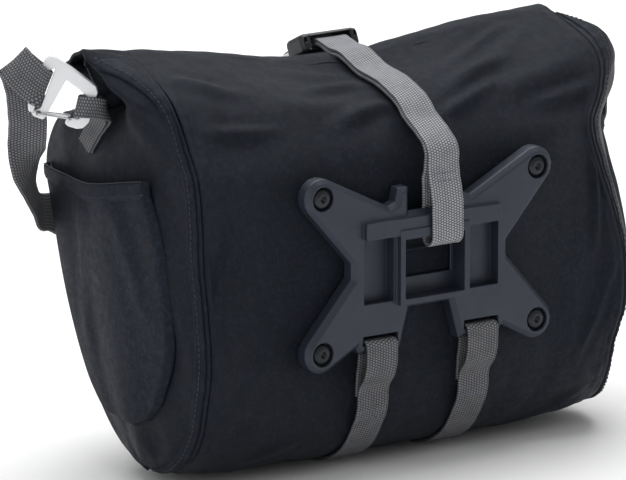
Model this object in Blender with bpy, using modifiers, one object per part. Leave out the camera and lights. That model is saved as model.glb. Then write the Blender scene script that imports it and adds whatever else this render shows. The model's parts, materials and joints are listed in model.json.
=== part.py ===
"""A bicycle handlebar bag: a roll-top cloth bag with a moulded mounting plate on its back.

Metres, +Z up. While it is modelled, X = 0 is the middle of the plate, Y = 0 is the plate's front face
and Z = 0 is the surface that the bag stands on. The plate looks along -Y. At the end everything moves
together, so that the origin is the middle of the footprint.
"""
import math

import bmesh
import bpy
import numpy as np
from mathutils import Matrix, Vector

# Driving sizes of the bag
BAG_WIDTH = 0.266
BAG_HEIGHT = 0.2220
BAG_DEPTH = 0.153
CLOTH = 0.0016
STRETCH_CLOTH = 0.0013
TAPE_THICKNESS = 0.0008
GAP = 0.0004
SEAM_GAP = 0.0021
PLATE_TO_CLOTH = 0.0010
POCKET_GAP = 0.0020
TAPE_GAP = 0.0010

# The mounting plate
PLATE_THICKNESS = 0.0090
PLATE_CHAMFER = 0.0034
PLATE_CENTRE_HEIGHT = 0.1135
HOLE_SPACING_X = 0.138
HOLE_SPACING_Z = 0.0835
ARM_TIP_RADIUS = 0.0105
NOTCH_HALF_WIDTH = 0.0500
SOCKET_WIDTH = 0.038
SOCKET_HEIGHT = 0.036
SOCKET_WALL = 0.0032
SOCKET_RISE = 0.0036
FLOOR_THICKNESS = 0.0014
RIB_RISE = 0.0030

# Screws, with a button head in a counterbore
HEAD_RADIUS = 0.0057
HEAD_HEIGHT = 0.0030
SHANK_RADIUS = 0.0024
SOCKET_RADIUS = 0.0018
COUNTERBORE_CLEARANCE = 0.0008

# Webbing and straps
STRAP_WIDTH = 0.020
STRAP_THICKNESS = 0.0015
STRAP_CLEARANCE = 0.0006
STRAP_STEP = 0.0110
SHOULDER_WIDTH = 0.0204
LOOP_WIDTH = 0.0114
CENTRE_STRAP_X = 0.0070
LOWER_STRAP_X = 0.0325

# Strap hooks with a wire gate
HOOK_THICKNESS = 0.0042
GATE_WIRE = 0.0015
GATE_GAP = 0.00035
GATE_BEND = 0.0009

# What the straps pass: the bar above the socket, and the foot of each leg
BAR_HEIGHT = 0.0048
BAR_BACK = 0.0035
FOOT_SLOT_FROM = 0.0012
FOOT_SLOT_TO = 0.0060
CHANNEL_FROM = 0.0058
LOWER_STRAP_ROWS = (
    0.600, 0.580, 0.560, 0.540, 0.515, 0.490, 0.465, 0.440, 0.410, 0.380, 0.350, 0.320, 0.295,
)

# The strap hook's outline in its own plane, across towards the bag and up, as shares of HOOK_SIZE
HOOK_SIZE = 0.040
HOOK_OUTLINE = (
    (-0.29, 0.47), (-0.22, 0.515), (-0.14, 0.48), (0.065, 0.345), (0.375, 0.105), (0.395, 0.03),
    (0.36, -0.08), (0.275, -0.38), (0.20, -0.455), (0.12, -0.465), (-0.005, -0.425), (-0.04, -0.385),
    (-0.02, -0.345), (0.15, -0.325), (0.195, -0.22), (0.265, -0.04), (0.115, 0.09), (-0.02, 0.19),
    (-0.265, -0.255), (-0.275, -0.29), (-0.32, -0.34), (-0.45, -0.29), (-0.515, -0.215), (-0.52, -0.13),
)
HOOK_SLOT = ((-0.155, 0.352), (-0.349, -0.180), (-0.449, -0.225), (-0.255, 0.307))
# Where the hooks are: across, deep and high, as shares of the bag's width, depth and height.
HOOK_PLACES = {-1: (-0.630075, 0.601307, 0.934234), 1: (0.635338, 0.709150, 0.698198)}
GATE_PIVOT = (-0.380, -0.250)
GATE_TIP = (0.020, -0.3105)

# The webbing loop on each hook. The tab's rows lie on the gusset; the free rows and the rows round the
# hook's bar are in the hook's plane and away from it, as shares of HOOK_SIZE, with the width's direction.
# Columns: up, c.
LOOP_TAB_ROWS = {
    -1: ((0.648, 0.640), (0.668, 0.615), (0.690, 0.590)),
    1: ((0.700, 0.300), (0.672, 0.300), (0.642, 0.300)),
}
LOOP_TAB_WIDTH = {-1: (0.0, -0.85, -0.50), 1: (0.0, -0.98, 0.20)}
# Columns: across, up, away, width_across, width_up, width_away.
LOOP_OUTER_ROWS = {
    -1: ((0.440, -0.435, 0.437, 0.48, -0.50, -0.70), (0.512, -0.290, 0.187, 0.30, -0.80, -0.50),
         (0.455, -0.205, -0.012, -0.10, -0.97, -0.10)),
    1: ((0.775, 0.150, -0.690, 0.45, -0.25, -0.86), (0.568, -0.010, -0.525, 0.12, -0.80, -0.59),
        (0.410, -0.120, -0.300, -0.10, -0.95, -0.25)),
}
LOOP_INNER_ROWS = {
    -1: ((0.400, -0.200, 0.110, -0.15, -0.97, -0.10), (0.440, -0.292, 0.215, 0.30, -0.80, -0.50),
         (0.390, -0.430, 0.405, 0.48, -0.50, -0.70)),
    1: ((0.385, -0.166, 0.072, -0.15, -0.95, -0.10), (0.560, -0.040, -0.210, 0.12, -0.85, -0.45),
        (0.742, 0.110, -0.510, 0.40, -0.35, -0.85)),
}
LOOP_BAR_ROWS = ((0.312, -0.166, -0.092), (0.190, -0.166, -0.088), (0.128, -0.166, -0.050),
                 (0.128, -0.166, 0.050), (0.190, -0.166, 0.088), (0.312, -0.166, 0.098))
LOOP_BAR_WIDTH = (-0.24, -0.97, 0.0)

# The shoulder strap at each hook: doubled through the slot, folded over outside the hook and then led
# down behind it. Columns as for the loops.
STRAP_END_ROWS = (
    (-0.630, 0.330, 0.062, 0.66, 0.75, 0.0), (-0.475, 0.190, 0.096, 0.52, 0.85, 0.0),
    (-0.345, 0.086, 0.090, 0.38, 0.93, 0.0), (-0.302, 0.068, 0.058, 0.36, 0.935, 0.0),
    (-0.300, 0.067, -0.058, 0.36, 0.935, 0.0), (-0.345, 0.086, -0.092, 0.38, 0.93, 0.0),
    (-0.475, 0.200, -0.100, 0.52, 0.85, 0.0), (-0.612, 0.335, -0.075, 0.70, 0.71, 0.0),
    (-0.708, 0.422, 0.040, 0.746, 0.666, 0.0), (-0.645, 0.280, 0.175, 0.85, 0.53, 0.0),
    (-0.560, -0.070, 0.225, 0.98, 0.20, 0.0), (-0.538, -0.412, 0.262, 1.0, 0.02, 0.0),
    (-0.545, -0.702, 0.325, 1.0, 0.0, 0.0), (-0.565, -1.032, 0.450, 0.74, 0.05, 0.67),
    (-0.525, -1.336, 0.675, 0.33, 0.10, 0.94), (-0.480, -1.638, 1.000, 0.05, 0.35, 0.94),
    (-0.430, -1.900, 1.400, 0.0, 0.78, 0.62),
)
STRAP_CORNER_ROWS = {-1: (-0.497, 1.080, 0.563), 1: (0.497, 1.110, 0.400)}
# Columns: across, depth, height.
STRAP_FRONT_ROWS = ((-0.43, 1.125, 0.530), (-0.30, 1.130, 0.500), (0.0, 1.132, 0.462),
                    (0.30, 1.130, 0.432), (0.43, 1.130, 0.412))

# The buckle on the ridge, a channel that the strap runs through
BUCKLE_WIDTH = 0.0370
BUCKLE_LENGTH = 0.0180
BUCKLE_THICKNESS = 0.0110
BUCKLE_WALL = 0.0017
BUCKLE_X = 0.0065
BUCKLE_DOWN = 0.0040
IN_BUCKLE = 0.5 * STRAP_THICKNESS + 0.0004
RING_WIRE = 0.0034
RING_HALF = 0.0062
FRONT_STRAP_ROWS = (0.118, 0.138, 0.160, 0.180, 0.205, 0.235, 0.265)

# Rows round the main panel, from the front edge of the mouth down the front, under the bag, up the
# back and over the roof. Depths and heights are shares of BAG_DEPTH and BAG_HEIGHT, at the side seams
# and in the middle; right is the share of the half width at the right seam; power tells how near the
# seams the middle's shape lasts; roof is the share of the ridge's own dip that the row takes.
# Columns: seam_depth, seam_height, mid_depth, mid_height, right, power, roof.
PANEL_ROWS = (
    (0.569, 0.955, 0.569, 0.888, 0.99, 3, 1.0),
    (0.647, 0.902, 0.650, 0.846, 0.98, 3, 0.8),
    (0.732, 0.870, 0.740, 0.828, 0.97, 3, 0.5),
    (0.824, 0.843, 0.840, 0.798, 0.95, 3, 0.2),
    (0.915, 0.817, 0.945, 0.762, 0.93, 3, 0.0),
    (0.978, 0.757, 1.008, 0.690, 0.92, 3, 0.0),
    (1.000, 0.690, 1.028, 0.600, 0.92, 3, 0.0),
    (0.967, 0.608, 1.020, 0.505, 0.94, 3, 0.0),
    (0.921, 0.498, 0.990, 0.405, 0.96, 3, 0.0),
    (0.856, 0.378, 0.935, 0.300, 0.97, 3, 0.0),
    (0.771, 0.256, 0.855, 0.198, 0.97, 4, 0.0),
    (0.673, 0.157, 0.755, 0.108, 0.97, 5, 0.0),
    (0.575, 0.090, 0.665, 0.035, 0.97, 7, 0.0),
    (0.477, 0.050, 0.575, 0.008, 0.97, 9, 0.0),
    (0.373, 0.033, 0.460, 0.007, 0.97, 10, 0.0),
    (0.268, 0.032, 0.340, 0.007, 0.97, 10, 0.0),
    (0.163, 0.054, 0.228, 0.013, 0.96, 10, 0.0),
    (0.078, 0.092, 0.130, 0.039, 0.94, 9, 0.0),
    (0.020, 0.151, 0.052, 0.088, 0.93, 8, 0.0),
    (-0.010, 0.223, 0.010, 0.160, 0.93, 7, 0.0),
    (-0.036, 0.322, 0.000, 0.277, 0.96, 5, 0.0),
    (-0.020, 0.444, 0.000, 0.430, 0.97, 5, 0.0),
    (0.007, 0.556, 0.000, 0.577, 0.94, 5, 0.0),
    (0.016, 0.664, 0.000, 0.690, 0.88, 5, 0.0),
    (0.039, 0.763, 0.018, 0.765, 0.85, 4, 0.1),
    (0.098, 0.836, 0.072, 0.826, 0.94, 3, 0.3),
    (0.150, 0.896, 0.144, 0.869, 0.99, 3, 0.6),
    (0.216, 0.943, 0.242, 0.900, 1.00, 3, 0.9),
    (0.314, 0.976, 0.353, 0.911, 1.00, 3, 1.0),
    (0.418, 0.989, 0.444, 0.919, 1.00, 3, 1.0),
    (0.490, 0.992, 0.497, 0.920, 1.00, 3, 1.0),
)
BOTTOM_ROW = 14.5
PANEL_STEPS_ROUND = 40
PANEL_STEPS_ACROSS = 14

# How far the ridge has risen from its dip in the middle towards the height of the left seam.
# Columns: across, risen.
RIDGE_ROWS = (
    (-1.00, 1.00), (-0.85, 0.95), (-0.47, 0.46), (-0.18, 0.06),
    (0.10, 0.00), (0.50, 0.42), (0.80, 0.62), (1.00, 0.70),
)

# Where the centre strap bites into the roof.
STRAP_DENT_DEPTH = 0.0025
STRAP_DENT_HALF_WIDTH = 0.016

# Raised folds on the main panel: start and end across (share of the half width) and round (share of
# the rows), the rise and the half width as shares of the bag's width.
# Columns: across_0, round_0, across_1, round_1, rise, half_width.
FOLD_ROWS = (
    (0.22, 0.865, 0.86, 0.955, 0.0085, 0.030),
    (0.28, 0.845, 0.97, 0.885, 0.0085, 0.028),
    (-0.62, 0.880, -0.05, 0.862, 0.0075, 0.030),
    (-0.40, 0.945, 0.00, 0.930, 0.0065, 0.028),
    (-0.95, 0.625, -0.74, 0.672, 0.0080, 0.024),
    (0.55, 0.805, 0.98, 0.800, 0.0065, 0.034),
    (-0.60, 0.300, 0.55, 0.260, 0.0080, 0.050),
)

# Rows up each gusset. Places are shares of the row's own length from the back seam to the front one;
# outs are shares of BAG_WIDTH beyond the seams; the lift raises the folded ear, as a share of BAG_HEIGHT.
# Columns: up, back_at, back_out, mid_out, front_at, front_out, lift.
GUSSET_ROWS = {
    -1: (
        (0.00, 0.30, 0.012, 0.012, 0.70, 0.012, 0.000),
        (0.12, 0.28, 0.026, 0.030, 0.72, 0.018, 0.000),
        (0.30, 0.28, 0.030, 0.037, 0.75, 0.018, 0.000),
        (0.50, 0.28, 0.030, 0.036, 0.78, 0.015, 0.000),
        (0.62, 0.32, 0.028, 0.030, 0.80, 0.014, 0.000),
        (0.72, 0.30, 0.022, 0.006, 0.85, 0.012, 0.012),
        (0.80, 0.30, 0.030, -0.026, 0.86, 0.010, 0.004),
        (0.87, 0.28, 0.044, -0.020, 0.80, 0.012, 0.000),
        (0.935, 0.26, 0.055, 0.030, 0.72, 0.032, 0.000),
        (1.00, 0.40, 0.058, 0.057, 0.60, 0.056, 0.002),
    ),
    1: (
        (0.00, 0.30, 0.012, 0.012, 0.70, 0.012, 0.000),
        (0.12, 0.28, 0.046, 0.050, 0.72, 0.030, 0.000),
        (0.30, 0.26, 0.060, 0.064, 0.75, 0.038, 0.000),
        (0.50, 0.26, 0.080, 0.082, 0.78, 0.046, 0.000),
        (0.62, 0.28, 0.112, 0.100, 0.80, 0.054, 0.000),
        (0.70, 0.26, 0.112, 0.078, 0.82, 0.042, 0.004),
        (0.77, 0.20, 0.092, 0.040, 0.84, 0.030, 0.008),
        (0.84, 0.18, 0.078, 0.016, 0.84, 0.022, 0.010),
        (0.92, 0.24, 0.038, 0.016, 0.80, 0.020, 0.006),
        (1.00, 0.40, 0.008, 0.008, 0.60, 0.008, 0.000),
    ),
}

# The side pocket on a gusset: rows up it, with where it starts and ends along the gusset's row.
# Columns: up, back_at, front_at.
POCKET_ROWS = (
    (0.205, 0.50, 0.80), (0.225, 0.36, 0.88), (0.265, 0.25, 0.94),
    (0.36, 0.165, 0.975), (0.48, 0.16, 0.975), (0.54, 0.20, 0.975), (0.575, 0.23, 0.975),
)
POCKET_SAG = ((0.0, 0.000), (0.5, -0.026), (1.0, -0.016))
POCKET_FULLNESS = 0.0022
HEM_HEIGHT = 0.0080
HEM_EXTRA = 0.0009
TAPE_FROM_SEAM = 0.0030
TAPE_WIDTH = 0.0065

# The rolled mouth: how far it reaches beyond the seams and down the front.
ROLL_LEFT_REACH = 0.0175
ROLL_RIGHT_REACH = 0.0030
ROLL_DROP = 0.024
ROLL_END_DROP = 0.009
ROLL_HEIGHT = 0.0078
ROLL_CLEARANCE = 0.0011
ROLL_REACH_ROW = 0.062
ROLL_START = ((-0.0055, 0.0018), (0.0, 0.0032), (0.0062, 0.0036))

BLACK_CLOTH = (0.020, 0.022, 0.028)
NAVY_STRETCH = (0.017, 0.019, 0.027)
PLATE_GREY = (0.045, 0.050, 0.062)
SCREW_BLACK = (0.012, 0.012, 0.014)
WEB_LIGHT = (0.300, 0.300, 0.305)
WEB_MID = (0.135, 0.135, 0.138)
WEB_DARK = (0.020, 0.020, 0.022)
HOOK_WHITE = (0.86, 0.87, 0.89)
STEEL = (0.55, 0.56, 0.58)

object_collection = None
cutter_collection = None
root = None


def start_scene():
    """Empty the scene and make the two collections and the root."""
    global object_collection, cutter_collection, root
    for old in list(bpy.data.objects):
        bpy.data.objects.remove(old, do_unlink=True)
    object_collection = bpy.data.collections.new("handlebar_bag")
    cutter_collection = bpy.data.collections.new("cutters")
    for collection in (object_collection, cutter_collection):
        bpy.context.scene.collection.children.link(collection)
    root = bpy.data.objects.new("handlebar_bag_root", None)
    object_collection.objects.link(root)


def make_material(name, colour, roughness, metallic=0.0):
    """A plain Principled material."""
    material = bpy.data.materials.new(name)
    material.use_nodes = True
    shader = material.node_tree.nodes["Principled BSDF"]
    shader.inputs["Base Color"].default_value = (*colour, 1.0)
    shader.inputs["Roughness"].default_value = roughness
    shader.inputs["Metallic"].default_value = metallic
    return material


def place(obj, colour, roughness=0.8, metallic=0.0, parent=None):
    """Put a finished object into the bag's collection, under the root or a joint's empty."""
    for collection in list(obj.users_collection):
        collection.objects.unlink(obj)
    object_collection.objects.link(obj)
    obj.data.materials.clear()
    obj.data.materials.append(make_material(obj.name + "_finish", colour, roughness, metallic))
    holder = parent if parent is not None else root
    obj.parent = holder
    obj.matrix_parent_inverse = holder.matrix_world.inverted()
    return obj


def new_object(name, mesh):
    obj = bpy.data.objects.new(name, mesh)
    object_collection.objects.link(obj)
    return obj


def grid_object(name, points, closed_across=False):
    """A sheet from a grid of points, rows first; its face normals follow rows x columns."""
    rows, columns = points.shape[:2]
    faces = []
    last = columns if closed_across else columns - 1
    for i in range(rows - 1):
        for j in range(last):
            k = (j + 1) % columns
            faces.append((i * columns + j, i * columns + k, (i + 1) * columns + k, (i + 1) * columns + j))
    mesh = bpy.data.meshes.new(name)
    mesh.from_pydata([tuple(p) for p in points.reshape(-1, 3)], [], faces)
    mesh.update()
    return new_object(name, mesh)


def thicken(obj, thickness, side):
    """Give a sheet its wall: side 1 grows along the normals, -1 against them and 0 both ways."""
    wall = obj.modifiers.new("wall", "SOLIDIFY")
    wall.thickness = thickness
    wall.offset = side
    wall.use_even_offset = False
    wall.use_quality_normals = True
    return obj


def smooth_between(rows, place_in_rows):
    """Values on a smooth curve through the rows, at places counted in rows."""
    table = np.asarray(rows, float)
    where = np.clip(np.asarray(place_in_rows, float), 0.0, len(table) - 1.0)
    index = np.minimum(where.astype(int), len(table) - 2)
    f = (where - index)[..., None]
    before = table[np.maximum(index - 1, 0)]
    here = table[index]
    there = table[index + 1]
    after = table[np.minimum(index + 2, len(table) - 1)]
    slope_here = 0.5 * (there - before)
    slope_there = 0.5 * (after - here)
    f2 = f * f
    f3 = f2 * f
    return (
        (2 * f3 - 3 * f2 + 1) * here + (f3 - 2 * f2 + f) * slope_here
        + (-2 * f3 + 3 * f2) * there + (f3 - f2) * slope_there
    )


def look_up(rows, value):
    """Smoothly interpolate a table whose first column rises, at the given values of that column."""
    table = np.asarray(rows, float)
    spot = np.interp(value, table[:, 0], np.arange(len(table)))
    return smooth_between(table, spot)


def rise(x):
    """A step from 0 to 1 with level ends."""
    x = np.clip(x, 0.0, 1.0)
    return x * x * (3 - 2 * x)


def panel_base(t, s):
    """The main panel without its folds: t runs round it, s from the left seam to the right one."""
    t, s = np.broadcast_arrays(np.asarray(t, float), np.asarray(s, float))
    row = smooth_between(PANEL_ROWS, t * (len(PANEL_ROWS) - 1))
    seam_depth, seam_height, mid_depth, mid_height, right, power, roof = np.moveaxis(row, -1, 0)
    ridge = look_up(RIDGE_ROWS, s)[..., 1]
    spread = (1 - roof) * np.abs(s) ** power + roof * ridge
    depth_spread = np.abs(s) ** power
    x = 0.5 * BAG_WIDTH * s * np.where(s > 0, 1 + (right - 1) * np.abs(s) ** 3, 1.0)
    y = PLATE_THICKNESS + PLATE_TO_CLOTH + BAG_DEPTH * (mid_depth + (seam_depth - mid_depth) * depth_spread)
    z = BAG_HEIGHT * (mid_height + (seam_height - mid_height) * spread)
    off_strap = (x - CENTRE_STRAP_X) / STRAP_DENT_HALF_WIDTH
    z = z - STRAP_DENT_DEPTH * roof * np.exp(-off_strap ** 4)
    return np.stack([x, y, z], axis=-1)


def surface_normal(surface, a, b, step=0.004):
    """Unit normals of a surface of two parameters, pointing along da x db."""
    da = surface(a + step, b) - surface(a - step, b)
    db = surface(a, b + step) - surface(a, b - step)
    normal = np.cross(da, db)
    return normal / np.maximum(np.linalg.norm(normal, axis=-1, keepdims=True), 1e-12)


def panel_normal(t, s):
    """Outward normals of the main panel."""
    inside = np.clip(t, 0.004, 0.996)
    return -surface_normal(panel_base, inside, np.clip(s, -0.99, 0.99))


def panel_surface(t, s):
    """The main panel's outer face with its folds raised on it."""
    t, s = np.broadcast_arrays(np.asarray(t, float), np.asarray(s, float))
    base = panel_base(t, s)
    round_length = 4.2
    height = np.zeros_like(t)
    for across_0, round_0, across_1, round_1, rise_share, half_width in FOLD_ROWS:
        line = np.array([across_1 - across_0, (round_1 - round_0) * round_length])
        off = np.stack([s - across_0, (t - round_0) * round_length], axis=-1)
        along = np.clip((off @ line) / (line @ line), 0.0, 1.0)
        apart = np.linalg.norm(off - along[..., None] * line, axis=-1)
        ends = np.sin(np.pi * np.clip(along, 0.02, 0.98)) ** 0.5
        height += rise_share * ends * np.exp(-(apart * 0.5 / half_width) ** 2)
    flat_edge = rise((1 - np.abs(s)) * 10)
    return base + panel_normal(t, s) * (height * flat_edge * BAG_WIDTH)[..., None]


def edge_point(t, side):
    """The panel's edge at a side seam, drawn in by one wall, where the gusset joins it."""
    inward = -panel_normal(np.asarray(t, float), float(side)) * CLOTH
    inward[..., 0] = 0.0
    point = panel_base(t, float(side)) + inward
    point[..., 0] += side * SEAM_GAP
    return point


def gusset_surface(side, up, c):
    """The gusset's inner face: up runs from the bottom to the mouth, c from the back seam to the front."""
    up, c = np.broadcast_arrays(np.asarray(up, float), np.asarray(c, float))
    _, back_at, back_out, mid_out, front_at, front_out, lift = np.moveaxis(
        look_up(GUSSET_ROWS[side], up), -1, 0)
    low = BOTTOM_ROW / (len(PANEL_ROWS) - 1)
    foot = 0.012
    back = edge_point(low + foot + (1 - low - foot) * up, side)
    front = edge_point((low - foot) * (1 - up), side)
    point = back + (front - back) * c[..., None]
    from_back = np.sin(0.5 * np.pi * np.clip(c / back_at, 0, 1))
    from_front = np.sin(0.5 * np.pi * np.clip((1 - c) / (1 - front_at), 0, 1))
    out = back_out * from_back
    out = out + (mid_out - back_out) * rise((c - back_at) / (0.5 - back_at))
    out = out + (front_out - mid_out) * rise((c - 0.5) / (front_at - 0.5))
    out = out - front_out * (1 - from_front) * (c > front_at)
    point[..., 0] += side * BAG_WIDTH * out
    point[..., 2] += BAG_HEIGHT * lift * from_back * from_front
    return point


def gusset_normal(side, up, c):
    """Outward normals of a gusset."""
    def surface(a, b):
        return gusset_surface(side, a, b)
    normal = surface_normal(surface, np.clip(up, 0.01, 0.99), np.clip(c, 0.005, 0.995))
    return normal if side < 0 else -normal


def make_panel():
    t = np.linspace(0.0, 1.0, PANEL_STEPS_ROUND + 1)[:, None]
    s = np.linspace(-1.0, 1.0, PANEL_STEPS_ACROSS + 1)[None, :]
    obj = grid_object("main_panel", panel_surface(t, s))
    return place(thicken(obj, CLOTH, -1), BLACK_CLOTH)


def make_gusset(side, name):
    up = np.concatenate([np.linspace(0.0, 0.6, 6), np.linspace(0.665, 1.0, 9)])[:, None]
    c = np.linspace(0.0, 1.0, 14)[None, :]
    points = gusset_surface(side, up, c)
    if side < 0:
        points = points[:, ::-1]
    obj = grid_object("gusset_" + name, points)
    return place(thicken(obj, CLOTH, 1), BLACK_CLOTH)


def over_gusset(side, up, c, height):
    """Points a given height above the gusset's outer face."""
    return gusset_surface(side, up, c) + gusset_normal(side, up, c) * (CLOTH + height)[..., None]


def pocket_limits(up):
    return np.moveaxis(look_up(POCKET_ROWS, up), -1, 0)[1:]


def make_pocket(side, name):
    """The stretch pocket: its body, and the hem along its mouth."""
    q = np.linspace(0.0, 1.0, 8)[:, None]
    p = np.linspace(0.0, 1.0, 11)[None, :]
    top = POCKET_ROWS[-1][0]
    sag = look_up(POCKET_SAG, p)[..., 1]
    level = POCKET_ROWS[0][0] + (top - POCKET_ROWS[0][0]) * q ** 1.3 + 0 * p
    back_at, front_at = pocket_limits(level)
    c = back_at + (front_at - back_at) * p
    full = POCKET_GAP + POCKET_FULLNESS * np.sin(np.pi * p) ** 0.7 * np.sin(np.pi * 0.62 * q) ** 0.7
    points = over_gusset(side, level + sag * q ** 3, c, full)
    if side < 0:
        points = points[:, ::-1]
    obj = grid_object("pocket_" + name, points)
    place(thicken(obj, STRETCH_CLOTH, 1), NAVY_STRETCH, 0.7)

    hem_share = HEM_HEIGHT / (BAG_HEIGHT * 1.55)
    seam_share = GAP / (BAG_HEIGHT * 1.2)
    level = top + seam_share * 2 + hem_share * np.linspace(0.0, 1.0, 3)[:, None] + 0 * p
    c = POCKET_ROWS[-1][1] + (POCKET_ROWS[-1][2] - POCKET_ROWS[-1][1]) * p + 0 * level
    full = POCKET_GAP + POCKET_FULLNESS * np.sin(np.pi * p) ** 0.7 * np.sin(np.pi * 0.62) ** 0.7 + 0 * level
    points = over_gusset(side, level + sag, c, full)
    if side < 0:
        points = points[:, ::-1]
    hem = grid_object("pocket_hem_" + name, points)
    place(thicken(hem, STRETCH_CLOTH + HEM_EXTRA, 1), NAVY_STRETCH, 0.7)


def make_tape(side, name):
    """The flat tape that is welded over the back seam, on the gusset."""
    up = np.linspace(0.10, 0.90, 30)[:, None]
    back = gusset_surface(side, up, 0.0)
    front = gusset_surface(side, up, 1.0)
    length = np.linalg.norm(front - back, axis=-1)
    share = np.linspace(TAPE_FROM_SEAM, TAPE_FROM_SEAM + TAPE_WIDTH, 2)[None, :] / length
    up = up + 0 * share
    points = over_gusset(side, up, share, 0 * share + TAPE_GAP)
    if side < 0:
        points = points[:, ::-1]
    obj = grid_object("seam_tape_" + name, points)
    return place(thicken(obj, TAPE_THICKNESS, 1), BLACK_CLOTH, 0.6)


def ridge_line(x, row=1.0):
    """Where the roof ends under the roll, or another row, for any X, carried on past the seams."""
    half = 0.5 * BAG_WIDTH
    point = panel_base(row, np.clip(x / half, -1.0, 1.0))
    beyond = np.maximum(-x - half, 0.0)
    point[..., 0] = x
    point[..., 2] += beyond * 0.13
    return point


def roll_frame(x):
    """For a place across: the roof's end, and the roll's foot, slope and rise over the front."""
    ridge = ridge_line(np.array(x))[1:]
    mouth = ridge_line(np.array(x), 0.0)[1:]
    lower = ridge_line(np.array(x), ROLL_REACH_ROW)[1:]
    slope = Vector(lower - mouth).normalized()
    rise_dir = Vector((-slope.y, slope.x))
    foot = Vector(mouth) + rise_dir * ROLL_CLEARANCE + slope * 0.0015
    return Vector(ridge), foot, slope, rise_dir


def roll_section(x, drop):
    """Middle line of the rolled mouth at a place across, as pairs of Y and Z."""
    ridge, foot, slope, rise_dir = roll_frame(x)
    outer = ROLL_HEIGHT - 0.5 * CLOTH
    inner = 0.5 * CLOTH
    curl = inner + 0.0029

    def at(a, b):
        return foot + slope * a + rise_dir * b

    shoulder = at(0.0005, outer)
    path = [ridge + Vector(spot) for spot in ROLL_START]
    path += [(path[-1] * 0.45 + shoulder * 0.55) + Vector((0.0004, 0.0006)), shoulder,
             at(0.5 * drop, outer), at(drop, outer)]
    middle = 0.5 * (outer + inner)
    radius = 0.5 * (outer - inner)
    for k in range(1, 4):
        turn = math.pi * k / 4
        path.append(at(drop + radius * math.sin(turn), middle + radius * math.cos(turn)))
    path.append(at(drop, inner))
    path.append(at(0.003, inner))
    radius = 0.5 * (curl - inner)
    middle = inner + radius
    for k in range(1, 4):
        turn = math.pi * k / 4
        path.append(at(0.003 - radius * math.sin(turn), middle - radius * math.cos(turn)))
    path.append(at(0.003, curl))
    path.append(at(0.45 * drop, curl))
    path.append(at(0.8 * drop, curl))
    return path


def make_roll():
    """The mouth, rolled over to the front, with the curl showing at its ends."""
    half = 0.5 * BAG_WIDTH
    stations = np.concatenate([
        np.linspace(-half - ROLL_LEFT_REACH, -half, 3)[:-1],
        np.linspace(-half, half + ROLL_RIGHT_REACH, 11)])
    sections = []
    for x in stations:
        into = min(1.0, (x + half + ROLL_LEFT_REACH) / (ROLL_LEFT_REACH * 1.6))
        drop = ROLL_END_DROP + (ROLL_DROP - ROLL_END_DROP) * float(rise(into))
        sections.append([(x, spot.x, spot.y) for spot in roll_section(x, drop)])
    obj = grid_object("roll_top", np.array(sections).transpose(1, 0, 2))
    return place(thicken(obj, CLOTH, 0), BLACK_CLOTH)


def box(name, low, high):
    """A box between two corners."""
    mesh = bpy.data.meshes.new(name)
    shape = bmesh.new()
    bmesh.ops.create_cube(shape, size=1.0)
    low, high = Vector(low), Vector(high)
    size = high - low
    bmesh.ops.transform(shape, matrix=Matrix.Diagonal((*size, 1.0)), verts=shape.verts)
    bmesh.ops.transform(shape, matrix=Matrix.Translation((low + high) / 2), verts=shape.verts)
    shape.to_mesh(mesh)
    shape.free()
    return new_object(name, mesh)


def outline_slab(name, outline, y_near, y_far, chamfer):
    """A flat outline in X and Z, given depth along Y, with its near edge chamfered."""
    shape = bmesh.new()
    corners = [shape.verts.new((x, y_near, z)) for x, z in outline]
    face = shape.faces.new(corners)
    face.normal_update()
    if face.normal.y > 0:
        face.normal_flip()
    grown = bmesh.ops.extrude_face_region(shape, geom=[face])
    moved = [item for item in grown["geom"] if isinstance(item, bmesh.types.BMVert)]
    near = [v for v in shape.verts if v not in moved]
    bmesh.ops.translate(shape, vec=(0, y_far - y_near, 0), verts=moved)
    bmesh.ops.recalc_face_normals(shape, faces=shape.faces)
    if chamfer > 0:
        rim = [e for e in shape.edges if e.verts[0] in near and e.verts[1] in near]
        bmesh.ops.bevel(shape, geom=rim, offset=chamfer, offset_type="OFFSET", segments=1,
                        profile=0.5, affect="EDGES", clamp_overlap=True)
    mesh = bpy.data.meshes.new(name)
    shape.to_mesh(mesh)
    shape.free()
    return new_object(name, mesh)


def combine(base, tool, operation):
    """Cut a tool out of the base, or join it on, and keep the tool in the cutters' collection."""
    for collection in list(tool.users_collection):
        collection.objects.unlink(tool)
    cutter_collection.objects.link(tool)
    tool.hide_render = True
    tool.display_type = "WIRE"
    tool.parent = root
    change = base.modifiers.new(tool.name, "BOOLEAN")
    change.object = tool
    change.operation = operation
    change.solver = "EXACT"


def arc(centre, radius, start, end, steps):
    """Points round part of a circle, angles in degrees."""
    return [(centre[0] + radius * math.cos(math.radians(start + (end - start) * k / steps)),
             centre[1] + radius * math.sin(math.radians(start + (end - start) * k / steps)))
            for k in range(steps + 1)]


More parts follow.
